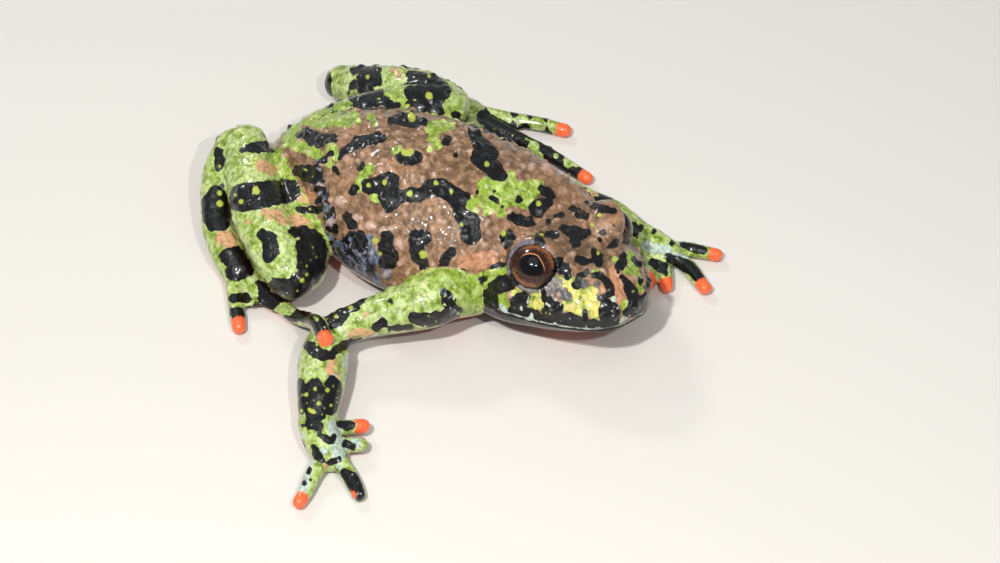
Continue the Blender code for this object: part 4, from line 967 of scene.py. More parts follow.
@dataclass
class Eyes:
    """Both eyes: size, place in the head's frame, gaze, and the opening between the lids."""

    frame: HeadFrame
    radius: float = 2.7
    spread: float = 4.75
    back: float = 0.95
    lift: float = -0.6
    gaze: tuple[float, float, float] = (0.58, -0.55, 0.6)
    lid_radius: float = 3.25
    opening: float = 56.0
    corner: float = 12.0
    droop: tuple[float, float] = (4.0, 46.0)

    def centre(self, side: int) -> Array:
        """Centre of the eye on one side, -1 right and 1 left."""
        return self.frame.out((side * self.spread, self.back, self.lift))

    def look(self, side: int) -> Array:
        """Direction in which the eye on one side looks."""
        return self.frame.direction((side * self.gaze[0], *self.gaze[1:]))

    def axes(self, side: int) -> Array:
        """The eye's own frame.

        Args:
            side: -1 right, 1 left.

        Returns:
            Three rows: towards the snout, upwards, and the gaze.
        """
        look = self.look(side)
        ahead = self.frame.direction((0.0, -1.0, 0.0))
        ahead = unit(ahead - look * (ahead @ look))
        up = np.cross(look, ahead)
        return np.stack([ahead, up * np.sign(up[2]), look])

    def around(self, spoke: Array, side: int) -> tuple[Array, Array, Array, Array]:
        """Where points lie round an eye.

        The opening of the lids is wider towards the snout and the back than up and down, and the
        upper lid droops over it from the crown: the edge is opening + corner * cos(bearing)^2 -
        droop * c degrees from the gaze, where c rises from 0 to 1 towards the crown.

        Args:
            spoke: points measured from the eye's centre.
            side: -1 right, 1 left.

        Returns:
            Angle from the gaze in degrees, the opening's edge at that bearing in degrees, and the
            cosine and sine of the bearing, which starts at the snout and turns upwards.
        """
        local = unit(spoke) @ self.axes(side).T
        flat = np.maximum(np.hypot(local[:, 0], local[:, 1]), 1e-6)
        ahead, up = local[:, 0] / flat, local[:, 1] / flat
        angle = np.degrees(np.arccos(np.clip(local[:, 2], -1.0, 1.0)))
        crown = self.axes(side) @ self.frame.direction((-side, 0.25, 0.35))
        crown = crown[:2] / np.hypot(crown[0], crown[1])
        cover = smoothstep(-0.2, 0.8, ahead * crown[0] + up * crown[1]) * self.droop[(side + 1) // 2]
        return angle, self.opening + self.corner * ahead**2 - cover, ahead, up


@dataclass
class Face:
    """Lids, glands, nostrils and mouth, in the head's own frame."""

    frame: HeadFrame
    eyes: Eyes
    trunk: Trunk
    mouth_level: float = -4.9
    mouth_corner: float = 5.6
    lip_radius: float = 0.32
    lip_sink: float = 0.06
    nostril: tuple[float, float, float] = (1.65, -5.7, -1.35)
    nostril_mound: float = 0.75
    nostril_sink: float = 0.35
    nostril_pit: float = 0.3
    pit_offset: tuple[float, float, float] = (0.45, -0.3, 0.1)
    pit_depth: float = 0.4
    pit_rim: float = 0.1
    groove_depth: float = 0.26
    groove_reach: float = 0.42
    groove_height: float = 0.13
    lid_slope: float = 44.0
    brow_slope: float = 18.0
    lid_fold: float = 0.1
    gland: Rows = ((6.3, 3.8, -1.4, 1.1), (6.9, 4.9, -1.7, 1.45), (7.2, 6.1, -2.0, 1.1))

    def lip_path(self) -> Array:
        """Line of the mouth round the snout.

        Returns:
            Points from corner to corner in the head's own frame.
        """
        rows = smooth_curve(self.trunk.head, 160)
        reach = np.where(rows[:, 1] > self.mouth_level, rows[:, 4], rows[:, 3])
        drop = (rows[:, 1] - self.mouth_level) / reach
        keep = (rows[:, 0] > 0.4 - self.mouth_corner) & (np.abs(drop) < 1)
        rows, drop = rows[keep], np.abs(drop[keep])
        power = np.where(rows[:, 1] > self.mouth_level, self.trunk.under_power, self.trunk.top_power)
        x = rows[:, 2] * (1 - drop**power) ** (1 / power) - self.lip_sink
        left = np.stack([x, -rows[:, 0], np.full(len(x), self.mouth_level)], axis=-1)
        right = left[::-1] * [-1, 1, 1]
        return np.concatenate([left, right])

    def surfaces(self) -> list[Surface]:
        """Lid mounds, glands, nostril mounds and lips.

        Returns:
            Closed surfaces that overlap the trunk.
        """
        lip = self.frame.out(self.lip_path()[::8])
        made = [tube(np.hstack([lip, np.full((len(lip), 1), self.lip_radius)]), sides=16, steps=160)]
        for side in (-1, 1):
            rows = np.array(self.gland) * [side, 1, 1, 1]
            made.append(tube(np.hstack([self.frame.out(rows[:, :3]), rows[:, 3:]])))
            made.append(ball(self.eyes.centre(side), self.eyes.lid_radius, 56))
            x, y, z = self.nostril
            made.append(ball(self.frame.out((side * x, y, z - self.nostril_sink)), self.nostril_mound, 24))
        return made

    def carve(self, points: Array, normals: Array) -> Array:
        """Cut the line of the mouth, the nostrils and the openings of the lids into the skin.

        The mouth is a groove that falls off as a bell curve from its line, and a nostril the same
        from its centre. Within the lid's opening the skin drops behind the eyeball; outside, it
        rises from the eyeball's edge to the lid's own radius, sooner at the brow than below.

        Args:
            points: points of the skin, millimetres.
            normals: their outward normals.

        Returns:
            New points.
        """
        local = self.frame.inward(points)
        out = points.copy()
        path = self.frame.out(self.lip_path())
        line = np.pad(path, ((0, 0), (0, 1)))
        near = capsule_distance(points, line[:-1], line[1:])
        rise = local[:, 2] - self.mouth_level
        groove = np.exp(-((near / self.groove_reach) ** 4)) * np.exp(-((rise / self.groove_height) ** 2))
        out -= normals * (self.groove_depth * groove)[:, None]
        for side in (-1, 1):
            x, y, z = (at + step for at, step in zip(self.nostril, self.pit_offset))
            pit = self.frame.out((side * x, y, z))
            depth = self.pit_depth * np.exp(-((lengths(points - pit) / self.nostril_pit) ** 2))
            rim = self.pit_rim * np.exp(-(((lengths(points - pit) - 0.55) / 0.2) ** 2))
            out -= normals * (depth - rim)[:, None]
            centre = self.eyes.centre(side)
            spoke = out - centre
            radius = lengths(spoke)
            angle, edge, ahead, up = self.eyes.around(spoke, side)
            brow = smoothstep(-0.1, 0.8, up - 0.35 * ahead)
            span = self.lid_slope + (self.brow_slope - self.lid_slope) * brow
            plain = self.eyes.radius + 0.1
            top = self.eyes.lid_radius + 0.12 * brow
            lid = plain + (top - plain) * smoothstep(0.0, 1.0, (angle - edge) / span)
            lid += self.lid_fold * np.exp(-(((angle - edge - 5.0) / 3.5) ** 2))
            lid = np.where(angle < edge, self.eyes.radius - 0.3, lid)
            lidded = (radius < self.eyes.lid_radius + 0.4) & (angle < edge + span)
            out = np.where(lidded[:, None], centre + unit(spoke) * np.minimum(radius, lid)[:, None], out)
        return out


@dataclass
class PicturePlane:
    """The camera's picture, as a plane of millimetres at the toad: across from left, down from top."""

    heading: float = 32.0
    tilt: float = 47.0
    distance: float = 350.0
    lens_ratio: float = 3.36
    aim: tuple[float, float, float] = (0.0, 0.0, 6.0)
    aim_across: float = 43.75
    aim_down: float = 22.4
    centre_across: float = 52.083
    centre_down: float = 29.323
    width: float = 104.167
    cell: float = 0.5
    slack: float = 1.6
    edge_on: tuple[float, float] = (0.12, 0.4)

    def axes(self) -> tuple[Array, Array, Array]:
        """Directions of the camera.

        Returns:
            Forward, right and up.
        """
        a, e = math.radians(self.heading), math.radians(self.tilt)
        ahead = np.array([math.cos(a) * math.cos(e), math.sin(a) * math.cos(e), -math.sin(e)])
        right = np.array([math.sin(a), -math.cos(a), 0.0])
        return ahead, right, np.cross(right, ahead)

    def eye(self) -> Array:
        """Place of the camera.

        Returns:
            Point in the toad's frame, millimetres.
        """
        ahead, right, up = self.axes()
        scale = self.distance / (self.lens_ratio * self.width)
        shift = (self.aim_across - self.centre_across) * right - (self.aim_down - self.centre_down) * up
        return np.array(self.aim) - self.distance * ahead - shift * scale

    def project(self, points: Array) -> tuple[Array, Array]:
        """Carry points onto the plane along the lines of sight.

        Args:
            points: points in the toad's frame.

        Returns:
            Millimetres across and down the plane, and depth from the camera.
        """
        ahead, right, up = self.axes()
        spoke = points - self.eye()
        depth = spoke @ ahead
        scale = self.lens_ratio * self.width / depth
        across = self.centre_across + spoke @ right * scale
        down = self.centre_down - spoke @ up * scale
        return np.stack([across, down], axis=-1), depth

    def seen(self, points: Array, normals: Array) -> Array:
        """How squarely each point faces the camera, from 0 where it is hidden or edge-on to 1.

        The plane is cut into cells; a point is hidden if it lies more than the slack behind the
        nearest one in its cell.

        Args:
            points: points of the skin.
            normals: their outward normals.

        Returns:
            Share from 0 to 1 per point.
        """
        flat, depth = self.project(points)
        toward = -unit(points - self.eye())
        facing = (normals * toward).sum(axis=1)
        cell = np.floor(flat / self.cell).astype(int)
        cell -= cell.min(axis=0)
        key = cell[:, 0] * (cell[:, 1].max() + 1) + cell[:, 1]
        front = np.full(key.max() + 1, 1e6)
        np.minimum.at(front, key, np.where(facing > 0, depth, 1e6))
        return smoothstep(*self.edge_on, facing) * (depth < front[key] + self.slack)


@dataclass
class Warts:
    """Tubercles of the skin: soft domes, thick on the back, and larger pale ones where marked."""

    seed: int = 7
    spacing: float = 1.2
    tries: int = 12000
    sizes: tuple[float, float] = (0.42, 0.8)
    heights: tuple[float, float] = (0.14, 0.46)
    rarity: float = 1.6
    marked: float = 0.7

    def scatter(self, points: Array, weight: Array) -> Array:
        """Places of warts, none closer to another than the spacing.

        Args:
            points: points of the skin.
            weight: how likely a wart is at each, 0 to 1.

        Returns:
            Rows of x, y, z, radius, height.
        """
        draw = np.random.default_rng(self.seed)
        order = draw.permutation(len(points))[: self.tries]
        size = draw.uniform(*self.sizes, self.tries)
        low, high = self.heights
        height = low + (high - low) * draw.uniform(0.0, 1.0, self.tries) ** self.rarity
        chance = draw.uniform(0.0, 1.0, self.tries)
        chosen: list[Array] = []
        places = np.empty((0, 3))
        for index, radius, rise, luck in zip(order, size, height, chance):
            if luck > weight[index]:
                continue
            if len(places) and lengths(places - points[index]).min() < self.spacing * (0.6 + luck * 0.6):
                continue
            chosen.append(np.array([*points[index], radius, rise * min(1.0, 0.35 + weight[index])]))
            places = np.vstack([places, points[index]])
        return np.array(chosen)

    def raise_skin(self, points: Array, warts: Array) -> Array:
        """Height of the skin over its plain form: each wart is a dome h * (1 - (d/r)^2)^2.

        Args:
            points: points of the skin.
            warts: rows of x, y, z, radius, height.

        Returns:
            Height per point.
        """
        total = np.zeros(len(points))
        for x, y, z, radius, height in warts:
            near = np.abs(points[:, 0] - x) < radius
            near[near] = np.abs(points[near, 1] - y) < radius
            index = np.flatnonzero(near)
            gap = ((points[index] - [x, y, z]) ** 2).sum(axis=1) / radius**2
            dome = height * np.clip(1 - gap, 0.0, 1.0) ** 2
            total[index] = np.maximum(total[index], dome)
        return total


def lay(made: dict[Paint, Array], paint: Paint, value: Array) -> None:
    """Add a mark to those of its kind, which keep the least distance."""
    made[paint] = np.minimum(made[paint], value)


@dataclass
class Skin:
    """One skin over trunk, face and limbs, with its relief and its marks."""

    trunk: Trunk
    limbs: Limbs
    face: Face
    eyes: Eyes
    plane: PicturePlane
    warts: Warts
    voxel: float = 0.25
    rounds: int = 8
    tip_length: float = 0.35
    clip: float = 2.0
    seed: int = 3
    blotch_tries: int = 900
    blotch_spacing: float = 2.7
    blotch_sizes: tuple[float, float] = (0.6, 1.15)
    spot_radius: float = 0.24
    wart_shares: tuple[float, float, float] = (0.85, 0.3, 0.06)
    head_start: float = 0.62
    lip_edge: float = 0.12
    jaw_depth: float = 1.5

    def wrap(self) -> tuple[Array, Array]:
        """Draw one skin round all the forms together.

        Returns:
            Its points in millimetres and its four-cornered faces.
        """
        whole = joined([self.trunk.surface(), *self.face.surfaces(), *self.limbs.surfaces()])
        rough = new_object("rough", whole.points * MM, whole.faces)
        step = rough.modifiers.new("wrap", "REMESH")
        step.mode = "VOXEL"
        step.voxel_size = self.voxel * MM
        step.adaptivity = 0.0
        graph = bpy.context.evaluated_depsgraph_get()
        mesh = bpy.data.meshes.new_from_object(rough.evaluated_get(graph))
        points = np.empty(len(mesh.vertices) * 3)
        mesh.vertices.foreach_get("co", points)
        corners = np.empty(len(mesh.loops), dtype=np.int32)
        mesh.loops.foreach_get("vertex_index", corners)
        faces = corners.reshape(-1, 4)
        old = rough.data
        bpy.data.objects.remove(rough)
        bpy.data.meshes.remove(old)
        bpy.data.meshes.remove(mesh)
        return points.reshape(-1, 3) / MM, faces

    @staticmethod
    def normals(points: Array, faces: Array) -> Array:
        """Normals at the points: the sum of the faces' own, each the cross of its diagonals.

        Args:
            points: points of the skin.
            faces: its four-cornered faces.

        Returns:
            One unit vector per point.
        """
        corner = points[faces]
        across = np.cross(corner[:, 2] - corner[:, 0], corner[:, 3] - corner[:, 1])
        total = np.zeros_like(points)
        for k in range(4):
            for axis in range(3):
                total[:, axis] += np.bincount(faces[:, k], across[:, axis], len(points))
        return unit(total)

    @staticmethod
    def relaxed(points: Array, faces: Array, rounds: int) -> Array:
        """Points drawn to the mean of their neighbours and pushed back a little, round by round.

        Args:
            points: points of the skin.
            faces: its four-cornered faces.
            rounds: how often.

        Returns:
            Smoother points of nearly the same volume.
        """
        start = faces.reshape(-1)
        end = np.roll(faces, -1, axis=1).reshape(-1)
        count = np.bincount(start, minlength=len(points)) + np.bincount(end, minlength=len(points))
        moved = points
        for _ in range(rounds):
            for step in (0.55, -0.57):
                mean = np.empty_like(moved)
                for axis in range(3):
                    total = np.bincount(start, moved[end, axis], len(points))
                    total += np.bincount(end, moved[start, axis], len(points))
                    mean[:, axis] = total / count
                moved = moved + step * (mean - moved)
        return moved

    def regions(self, points: Array) -> tuple[Array, Array]:
        """Sort points by the part of the body that they are nearest to.

        Args:
            points: points of the skin.

        Returns:
            Value of each point's region, and how far it is into the limbs rather than the trunk.
        """
        trunk, _, _ = self.trunk.place(points)
        parts = [self.limbs.distance(points, region) for region in Region if region is not Region.BODY]
        stack = np.stack([trunk, *parts])
        limb = stack[1:].min(axis=0)
        return stack.argmin(axis=0), (trunk - limb) / 2

    def paint(self, points: Array, normals: Array) -> dict[Paint, Array]:
        """Distance from the edge of each kind of mark, negative inside it.

        On skin that faces the camera a stroke is measured on the picture plane, which keeps its
        outline; elsewhere it is measured in space from the skin that the stroke falls on, and
        marks of a seeded scatter are added where no stroke reaches.

        Args:
            points: points of the skin.
            normals: their outward normals.

        Returns:
            One array per kind of mark.
        """
        flat, _ = self.plane.project(points)
        seen = self.plane.seen(points, normals)
        region, limb = self.regions(points)
        made = {paint: np.full(len(points), self.clip) for paint in Paint}
        for marks in HAND_LAID_MARKS:
            chosen = np.flatnonzero(np.isin(region, marks.group.value))
            front = chosen[seen[chosen] > 0.3]
            if len(front) == 0:
                continue
            for stroke in (*marks.strokes, *((spot, spot) for spot in marks.spots)):
                rows = np.array(stroke)
                on_plane = capsule_distance(flat[chosen], rows[:-1], rows[1:])
                gap = lengths(flat[front][None] - rows[:, None, :2])
                spots = points[front[gap.argmin(axis=1)]]
                off = gap.min(axis=1)
                space = np.hstack([spots, rows[:, 2:]])
                in_space = capsule_distance(points[chosen], space[:-1], space[1:])
                in_space = np.where(off.min() > 0.8, self.clip, in_space)
                share = seen[chosen]
                value = share * on_plane + (1 - share) * in_space
                made[marks.paint][chosen] = np.minimum(made[marks.paint][chosen], value)
        made[Paint.BLACK] = np.maximum(made[Paint.BLACK], -made.pop(Paint.CLEAR))
        self.scatter(points, normals, seen, made)
        self.spread(points, normals, region, limb, made)
        return made

    def scatter(self, points: Array, normals: Array, seen: Array, made: dict) -> None:
        """Add seeded black blotches, green patches and yellow dots on skin that the camera can't see.

        Args:
            points: points of the skin.
            normals: their outward normals.
            seen: how squarely each faces the camera.
            made: distances by kind of mark, changed in place.
        """
        draw = np.random.default_rng(self.seed)
        hidden = np.flatnonzero((seen < 0.05) & (normals[:, 2] > -0.35))
        if len(hidden) == 0:
            return
        order = draw.permutation(hidden)[: self.blotch_tries]
        places = np.empty((0, 3))
        for index in order:
            if len(places) and lengths(places - points[index]).min() < self.blotch_spacing:
                continue
            places = np.vstack([places, points[index]])
            size = draw.uniform(*self.blotch_sizes)
            drift = unit(np.cross(normals[index], draw.normal(size=3))) * draw.uniform(0.4, 2.2)
            rows = np.array([[*points[index], size], [*(points[index] + drift), size * 0.85]])
            value = capsule_distance(points, rows[:-1], rows[1:]) + 3.0 * seen
            lay(made, Paint.BLACK, value)
            if draw.uniform() < 0.35:
                spot = lengths(points - points[index]) - self.spot_radius + 3.0 * seen
                lay(made, Paint.DOT, spot)
            if draw.uniform() < 0.3:
                gap = lengths(points - points[index] - drift * 1.6)
                patch = gap - draw.uniform(0.9, 1.9) + 3.0 * seen
                lay(made, Paint.GREEN, patch)

    def spread(self, points: Array, normals: Array, region: Array, limb: Array, made: dict) -> None:
        """Set the broad colours: green limbs, red underside, dark jaw, lids' rims and red tips.

        Args:
            points: points of the skin.
            normals: their outward normals.
            region: value of each point's region.
            limb: how far each is into the limbs.
            made: distances by kind of mark, changed in place.
        """
        lay(made, Paint.GREEN, -limb)
        _, along, height = self.trunk.place(points)
        body = region == Region.BODY.value
        underside = np.where(body, (height + 0.55) * 4.0, (normals[:, 2] + 0.55) * 3.0)
        steep = np.where(along > self.head_start, 0.86, 0.35)
        underside = np.maximum(underside, (normals[:, 2] + steep) * 4.0)
        lay(made, Paint.BELLY, underside)
        local = self.face.frame.inward(points)
        rim = local[:, 2] - self.face.mouth_level
        ahead = np.where(body & (along > self.head_start), local[:, 1] - 2.5, self.clip)
        jaw = np.maximum(np.maximum(rim - self.lip_edge, -self.jaw_depth - rim), ahead)
        lay(made, Paint.BLACK, jaw)
        line = np.maximum(np.abs(rim - self.lip_edge) - 0.1, ahead)
        lay(made, Paint.SPECK, line)
        for side in (-1, 1):
            spoke = points - self.eyes.centre(side)
            angle, edge, ahead_of, up = self.eyes.around(spoke, side)
            taper = 3.0 * up + np.where(ahead_of > 0, 12.0, 2.0) * ahead_of
            beyond = lengths(spoke) / self.eyes.radius * 10.0 - 15.0
            band = np.maximum(angle - edge - 7.0 + taper, beyond)
            lay(made, Paint.LILAC, np.where(body, band * 0.05, self.clip))
        tips = self.limbs.tip_distance(points, self.tip_length)
        lay(made, Paint.ORANGE, np.where(np.isin(region, HANDS_AND_FEET), tips, self.clip))

    def build(self) -> bpy.types.Object:
        """Wrap, smooth, paint, carve and roughen the skin.

        Returns:
            Object with one attribute for each kind of mark.
        """
        points, faces = self.wrap()
        LOG.info("skin wrapped: %d points", len(points))
        points = self.relaxed(points, faces, self.rounds)
        normals = self.normals(points, faces)
        if (normals * (points - points.mean(axis=0))).sum() < 0:
            faces = faces[:, ::-1]
            normals = -normals
        marks = self.paint(points, normals)
        points = self.face.carve(points, normals)
        normals = self.normals(points, faces)
        region, _ = self.regions(points)
        body = region == Region.BODY.value
        away = np.ones(len(points))
        for side in (-1, 1):
            away *= smoothstep(2.9, 3.7, lengths(points - self.eyes.centre(side)))
        upward = smoothstep(-0.2, 0.35, normals[:, 2])
        limbs = np.isin(region, UPPER_LIMBS)
        on_body, on_limbs, elsewhere = self.wart_shares
        weight = np.where(body, on_body, np.where(limbs, on_limbs, elsewhere)) * upward * away
        above_lip = self.face.frame.inward(points)[:, 2] - self.face.mouth_level
        head = body & (self.trunk.place(points)[1] > self.head_start)
        weight = weight * np.where(head, smoothstep(0.6, 2.6, above_lip), 1.0)
        scattered = self.warts.scatter(points, weight)
        lift = self.warts.raise_skin(points, scattered)
        large = np.clip(-marks[Paint.WART], 0.0, 1.0)
        lift = np.maximum(lift, self.warts.marked * np.sqrt(large) * (large > 0)) * away
        marks[Paint.WART] = lift
        points = points + normals * lift[:, None]
        points[:, 2] = np.maximum(points[:, 2], 0.0)
        LOG.info("skin shaped: %d warts", len(scattered))
        item = new_object("skin", points * MM, faces)
        for paint, values in marks.items():
            layer = item.data.attributes.new(paint.value, "FLOAT", "POINT")
            layer.data.foreach_set("value", np.clip(values, -self.clip, self.clip).astype(np.float32))
        return item


@dataclass
class Eyeballs:
    """The two eyeballs, each a sphere with a slight bulge of the clear cornea over the iris."""

    eyes: Eyes
    bulge: float = 0.12
    sides: int = 96
    rings: int = 64

    def build(self, side: int, name: str) -> bpy.types.Object:
        """One eyeball.

        Rings of latitude round the gaze: at angle t from it the radius is r + bulge * cos(t)^8.

        Args:
            side: -1 right, 1 left.
            name: name of the piece.

        Returns:
            Object whose attribute "disc" holds each point's place in the eye's own frame, in radii.
        """
        t = np.linspace(0.02, np.pi - 0.02, self.rings)[:, None]
        a = np.linspace(0.0, 2 * np.pi, self.sides, endpoint=False)[None, :]
        radius = self.eyes.radius + self.bulge * np.clip(np.cos(t), 0.0, 1.0) ** 8
        local = np.stack([np.sin(t) * np.cos(a), np.sin(t) * np.sin(a), np.cos(t) + 0 * a], axis=-1)
        grid = closed_grid(local)
        shape = closed_grid(local * radius[..., None])
        axes = self.eyes.axes(side)
        points = self.eyes.centre(side) + shape.points @ axes
        faces = shape.faces if np.linalg.det(axes) > 0 else shape.faces[:, ::-1]
        item = new_object(name, points * MM, faces)
        layer = item.data.attributes.new("disc", "FLOAT_VECTOR", "POINT")
        layer.data.foreach_set("vector", grid.points.astype(np.float32).reshape(-1))
        return item


# Finishes


def linear(red: int, green: int, blue: int) -> tuple[float, float, float, float]:
    """Colour given as three bytes, as the linear colour that a shader takes.

    Args:
        red: 0 to 255.
        green: 0 to 255.
        blue: 0 to 255.

    Returns:
        Linear red, green, blue and 1.
    """
    values = [channel / 255 for channel in (red, green, blue)]
    parts = [value / 12.92 if value <= 0.04045 else ((value + 0.055) / 1.055) ** 2.4 for value in values]
    return (*parts, 1.0)


class Tree:
    """Small helper that adds nodes to a node tree and joins them."""

    def __init__(self, tree: bpy.types.NodeTree) -> None:
        """Hold the tree."""
        self.tree = tree

    def add(self, kind: str, settings: dict | None = None, **inputs: Input) -> bpy.types.Node:
        """Add a node.

        Args:
            kind: type name of the node.
            settings: attributes of the node.
            **inputs: values or sockets by input name, with _ for a space.

        Returns:
            The node.
        """
        node = self.tree.nodes.new(kind)
        for name, value in (settings or {}).items():
            setattr(node, name, value)
        for name, value in inputs.items():
            self.put(node, name.replace("_", " "), value)
        return node

    def put(self, node: bpy.types.Node, name: str | int, value: Input) -> None:
        """Set one input of a node to a value or join it to a socket.

        Args:
            node: the node.
            name: name or number of the input.
            value: value or socket.
        """
        socket = node.inputs[name]
        if isinstance(value, Socket):
            self.tree.links.new(value, socket)
        else:
            socket.default_value = value

    def math(self, operation: str, *values: Input) -> Socket:
        """Add a Math node.

        Args:
            operation: its operation.
            *values: values or sockets.

        Returns:
            Its result.
        """
        node = self.add("ShaderNodeMath", {"operation": operation})
        for index, value in enumerate(values):
            self.put(node, index, value)
        return node.outputs[0]

    def mix(self, factor: Input, low: Input, high: Input) -> Socket:
        """Mix two colours.

        Args:
            factor: 0 for the first colour, 1 for the second.
            low: first colour.
            high: second colour.

        Returns:
            The mixed colour.
        """
        node = self.add("ShaderNodeMix", {"data_type": "RGBA"})
        for index, value in ((0, factor), (6, low), (7, high)):
            self.put(node, index, value)
        return node.outputs[2]

    def spread(self, value: Input, low: Input, high: Input) -> Socket:
        """Carry a value from low..high to 0..1 along a smooth step.

        Args:
            value: value or socket.
            low: value that gives 0.
            high: value that gives 1.

        Returns:
            The share from 0 to 1.
        """
        smooth = {"interpolation_type": "SMOOTHSTEP"}
        node = self.add("ShaderNodeMapRange", smooth, Value=value, From_Min=low, From_Max=high)
        return node.outputs["Result"]

    def attribute(self, name: str) -> bpy.types.Node:
        """Attribute node that reads a layer of the mesh."""
        return self.add("ShaderNodeAttribute", {"attribute_name": name})

    def place(self) -> Socket:
        """Object coordinates.

        Returns:
            The point in millimetres.
        """
        coordinates = self.add("ShaderNodeTexCoord")
        scale = self.add("ShaderNodeVectorMath", {"operation": "SCALE"}, Scale=1 / MM)
        self.put(scale, 0, coordinates.outputs["Object"])
        return scale.outputs[0]

    def noise(self, place: Socket, scale: Input, detail: float = 2.0, roughness: float = 0.5) -> Socket:
        """Add a noise.

        Args:
            place: where it is read.
            scale: lumps per unit of the place.
            detail: number of finer layers.
            roughness: strength of the finer layers.

        Returns:
            Noise from 0 to 1.
        """
        node = self.add("ShaderNodeTexNoise", Vector=place, Scale=scale, Detail=detail,
                        Roughness=roughness)
        return node.outputs["Fac"]


def add_sockets(group: bpy.types.NodeTree, inputs: tuple[str, ...], outputs: tuple[str, ...]) -> None:
    """Give a group its named inputs and outputs; "Place" is a vector and the others are numbers.

    Args:
        group: the node group.
        inputs: names of its inputs.
        outputs: names of its outputs.
    """
    for name in inputs:
        kind = "NodeSocketVector" if name == "Place" else "NodeSocketFloat"
        group.interface.new_socket(name, in_out="INPUT", socket_type=kind)
    for name in outputs:
        group.interface.new_socket(name, in_out="OUTPUT", socket_type="NodeSocketFloat")


def ragged_group() -> bpy.types.NodeTree:
    """Group that turns a distance from a mark's edge into a mask with a ragged edge.

    Returns:
        Group whose mask is 1 inside the mark and 0 outside it.
    """
    group = bpy.data.node_groups.new("ragged mark", "ShaderNodeTree")
    add_sockets(group, ("Distance", "Place", "Grain", "Raggedness", "Softness"), ("Mask",))
    tree = Tree(group)
    given = group.nodes.new("NodeGroupInput")
    result = group.nodes.new("NodeGroupOutput")
    noise = tree.noise(given.outputs["Place"], given.outputs["Grain"], 3.0)
    centred = tree.math("SUBTRACT", noise, 0.5)
    shake = tree.math("MULTIPLY", centred, given.outputs["Raggedness"])
    edge = tree.math("ADD", given.outputs["Distance"], shake)
    softness = given.outputs["Softness"]
    tree.put(result, "Mask", tree.spread(edge, softness, tree.math("MULTIPLY", softness, -1.0)))
    return group


def grain_group() -> bpy.types.NodeTree:
    """Group that gives the height of the skin's fine grain and wrinkles.

    Returns:
        Group with the height, and the distance from the middle of each pebble.
    """
    group = bpy.data.node_groups.new("skin grain", "ShaderNodeTree")
    add_sockets(group, ("Place", "Pebbles", "Wrinkles"), ("Height", "Cells"))
    tree = Tree(group)
    given = group.nodes.new("NodeGroupInput")
    result = group.nodes.new("NodeGroupOutput")
    cells = tree.add("ShaderNodeTexVoronoi", Vector=given.outputs["Place"], Scale=2.6)
    pebble = tree.math("SUBTRACT", 1.0, cells.outputs["Distance"])
    wrinkle = tree.noise(given.outputs["Place"], 3.2, 4.0, 0.6)
    height = tree.math("ADD", tree.math("MULTIPLY", pebble, given.outputs["Pebbles"]),
                       tree.math("MULTIPLY", wrinkle, given.outputs["Wrinkles"]))
    tree.put(result, "Height", height)
    tree.put(result, "Cells", cells.outputs["Distance"])
    return group


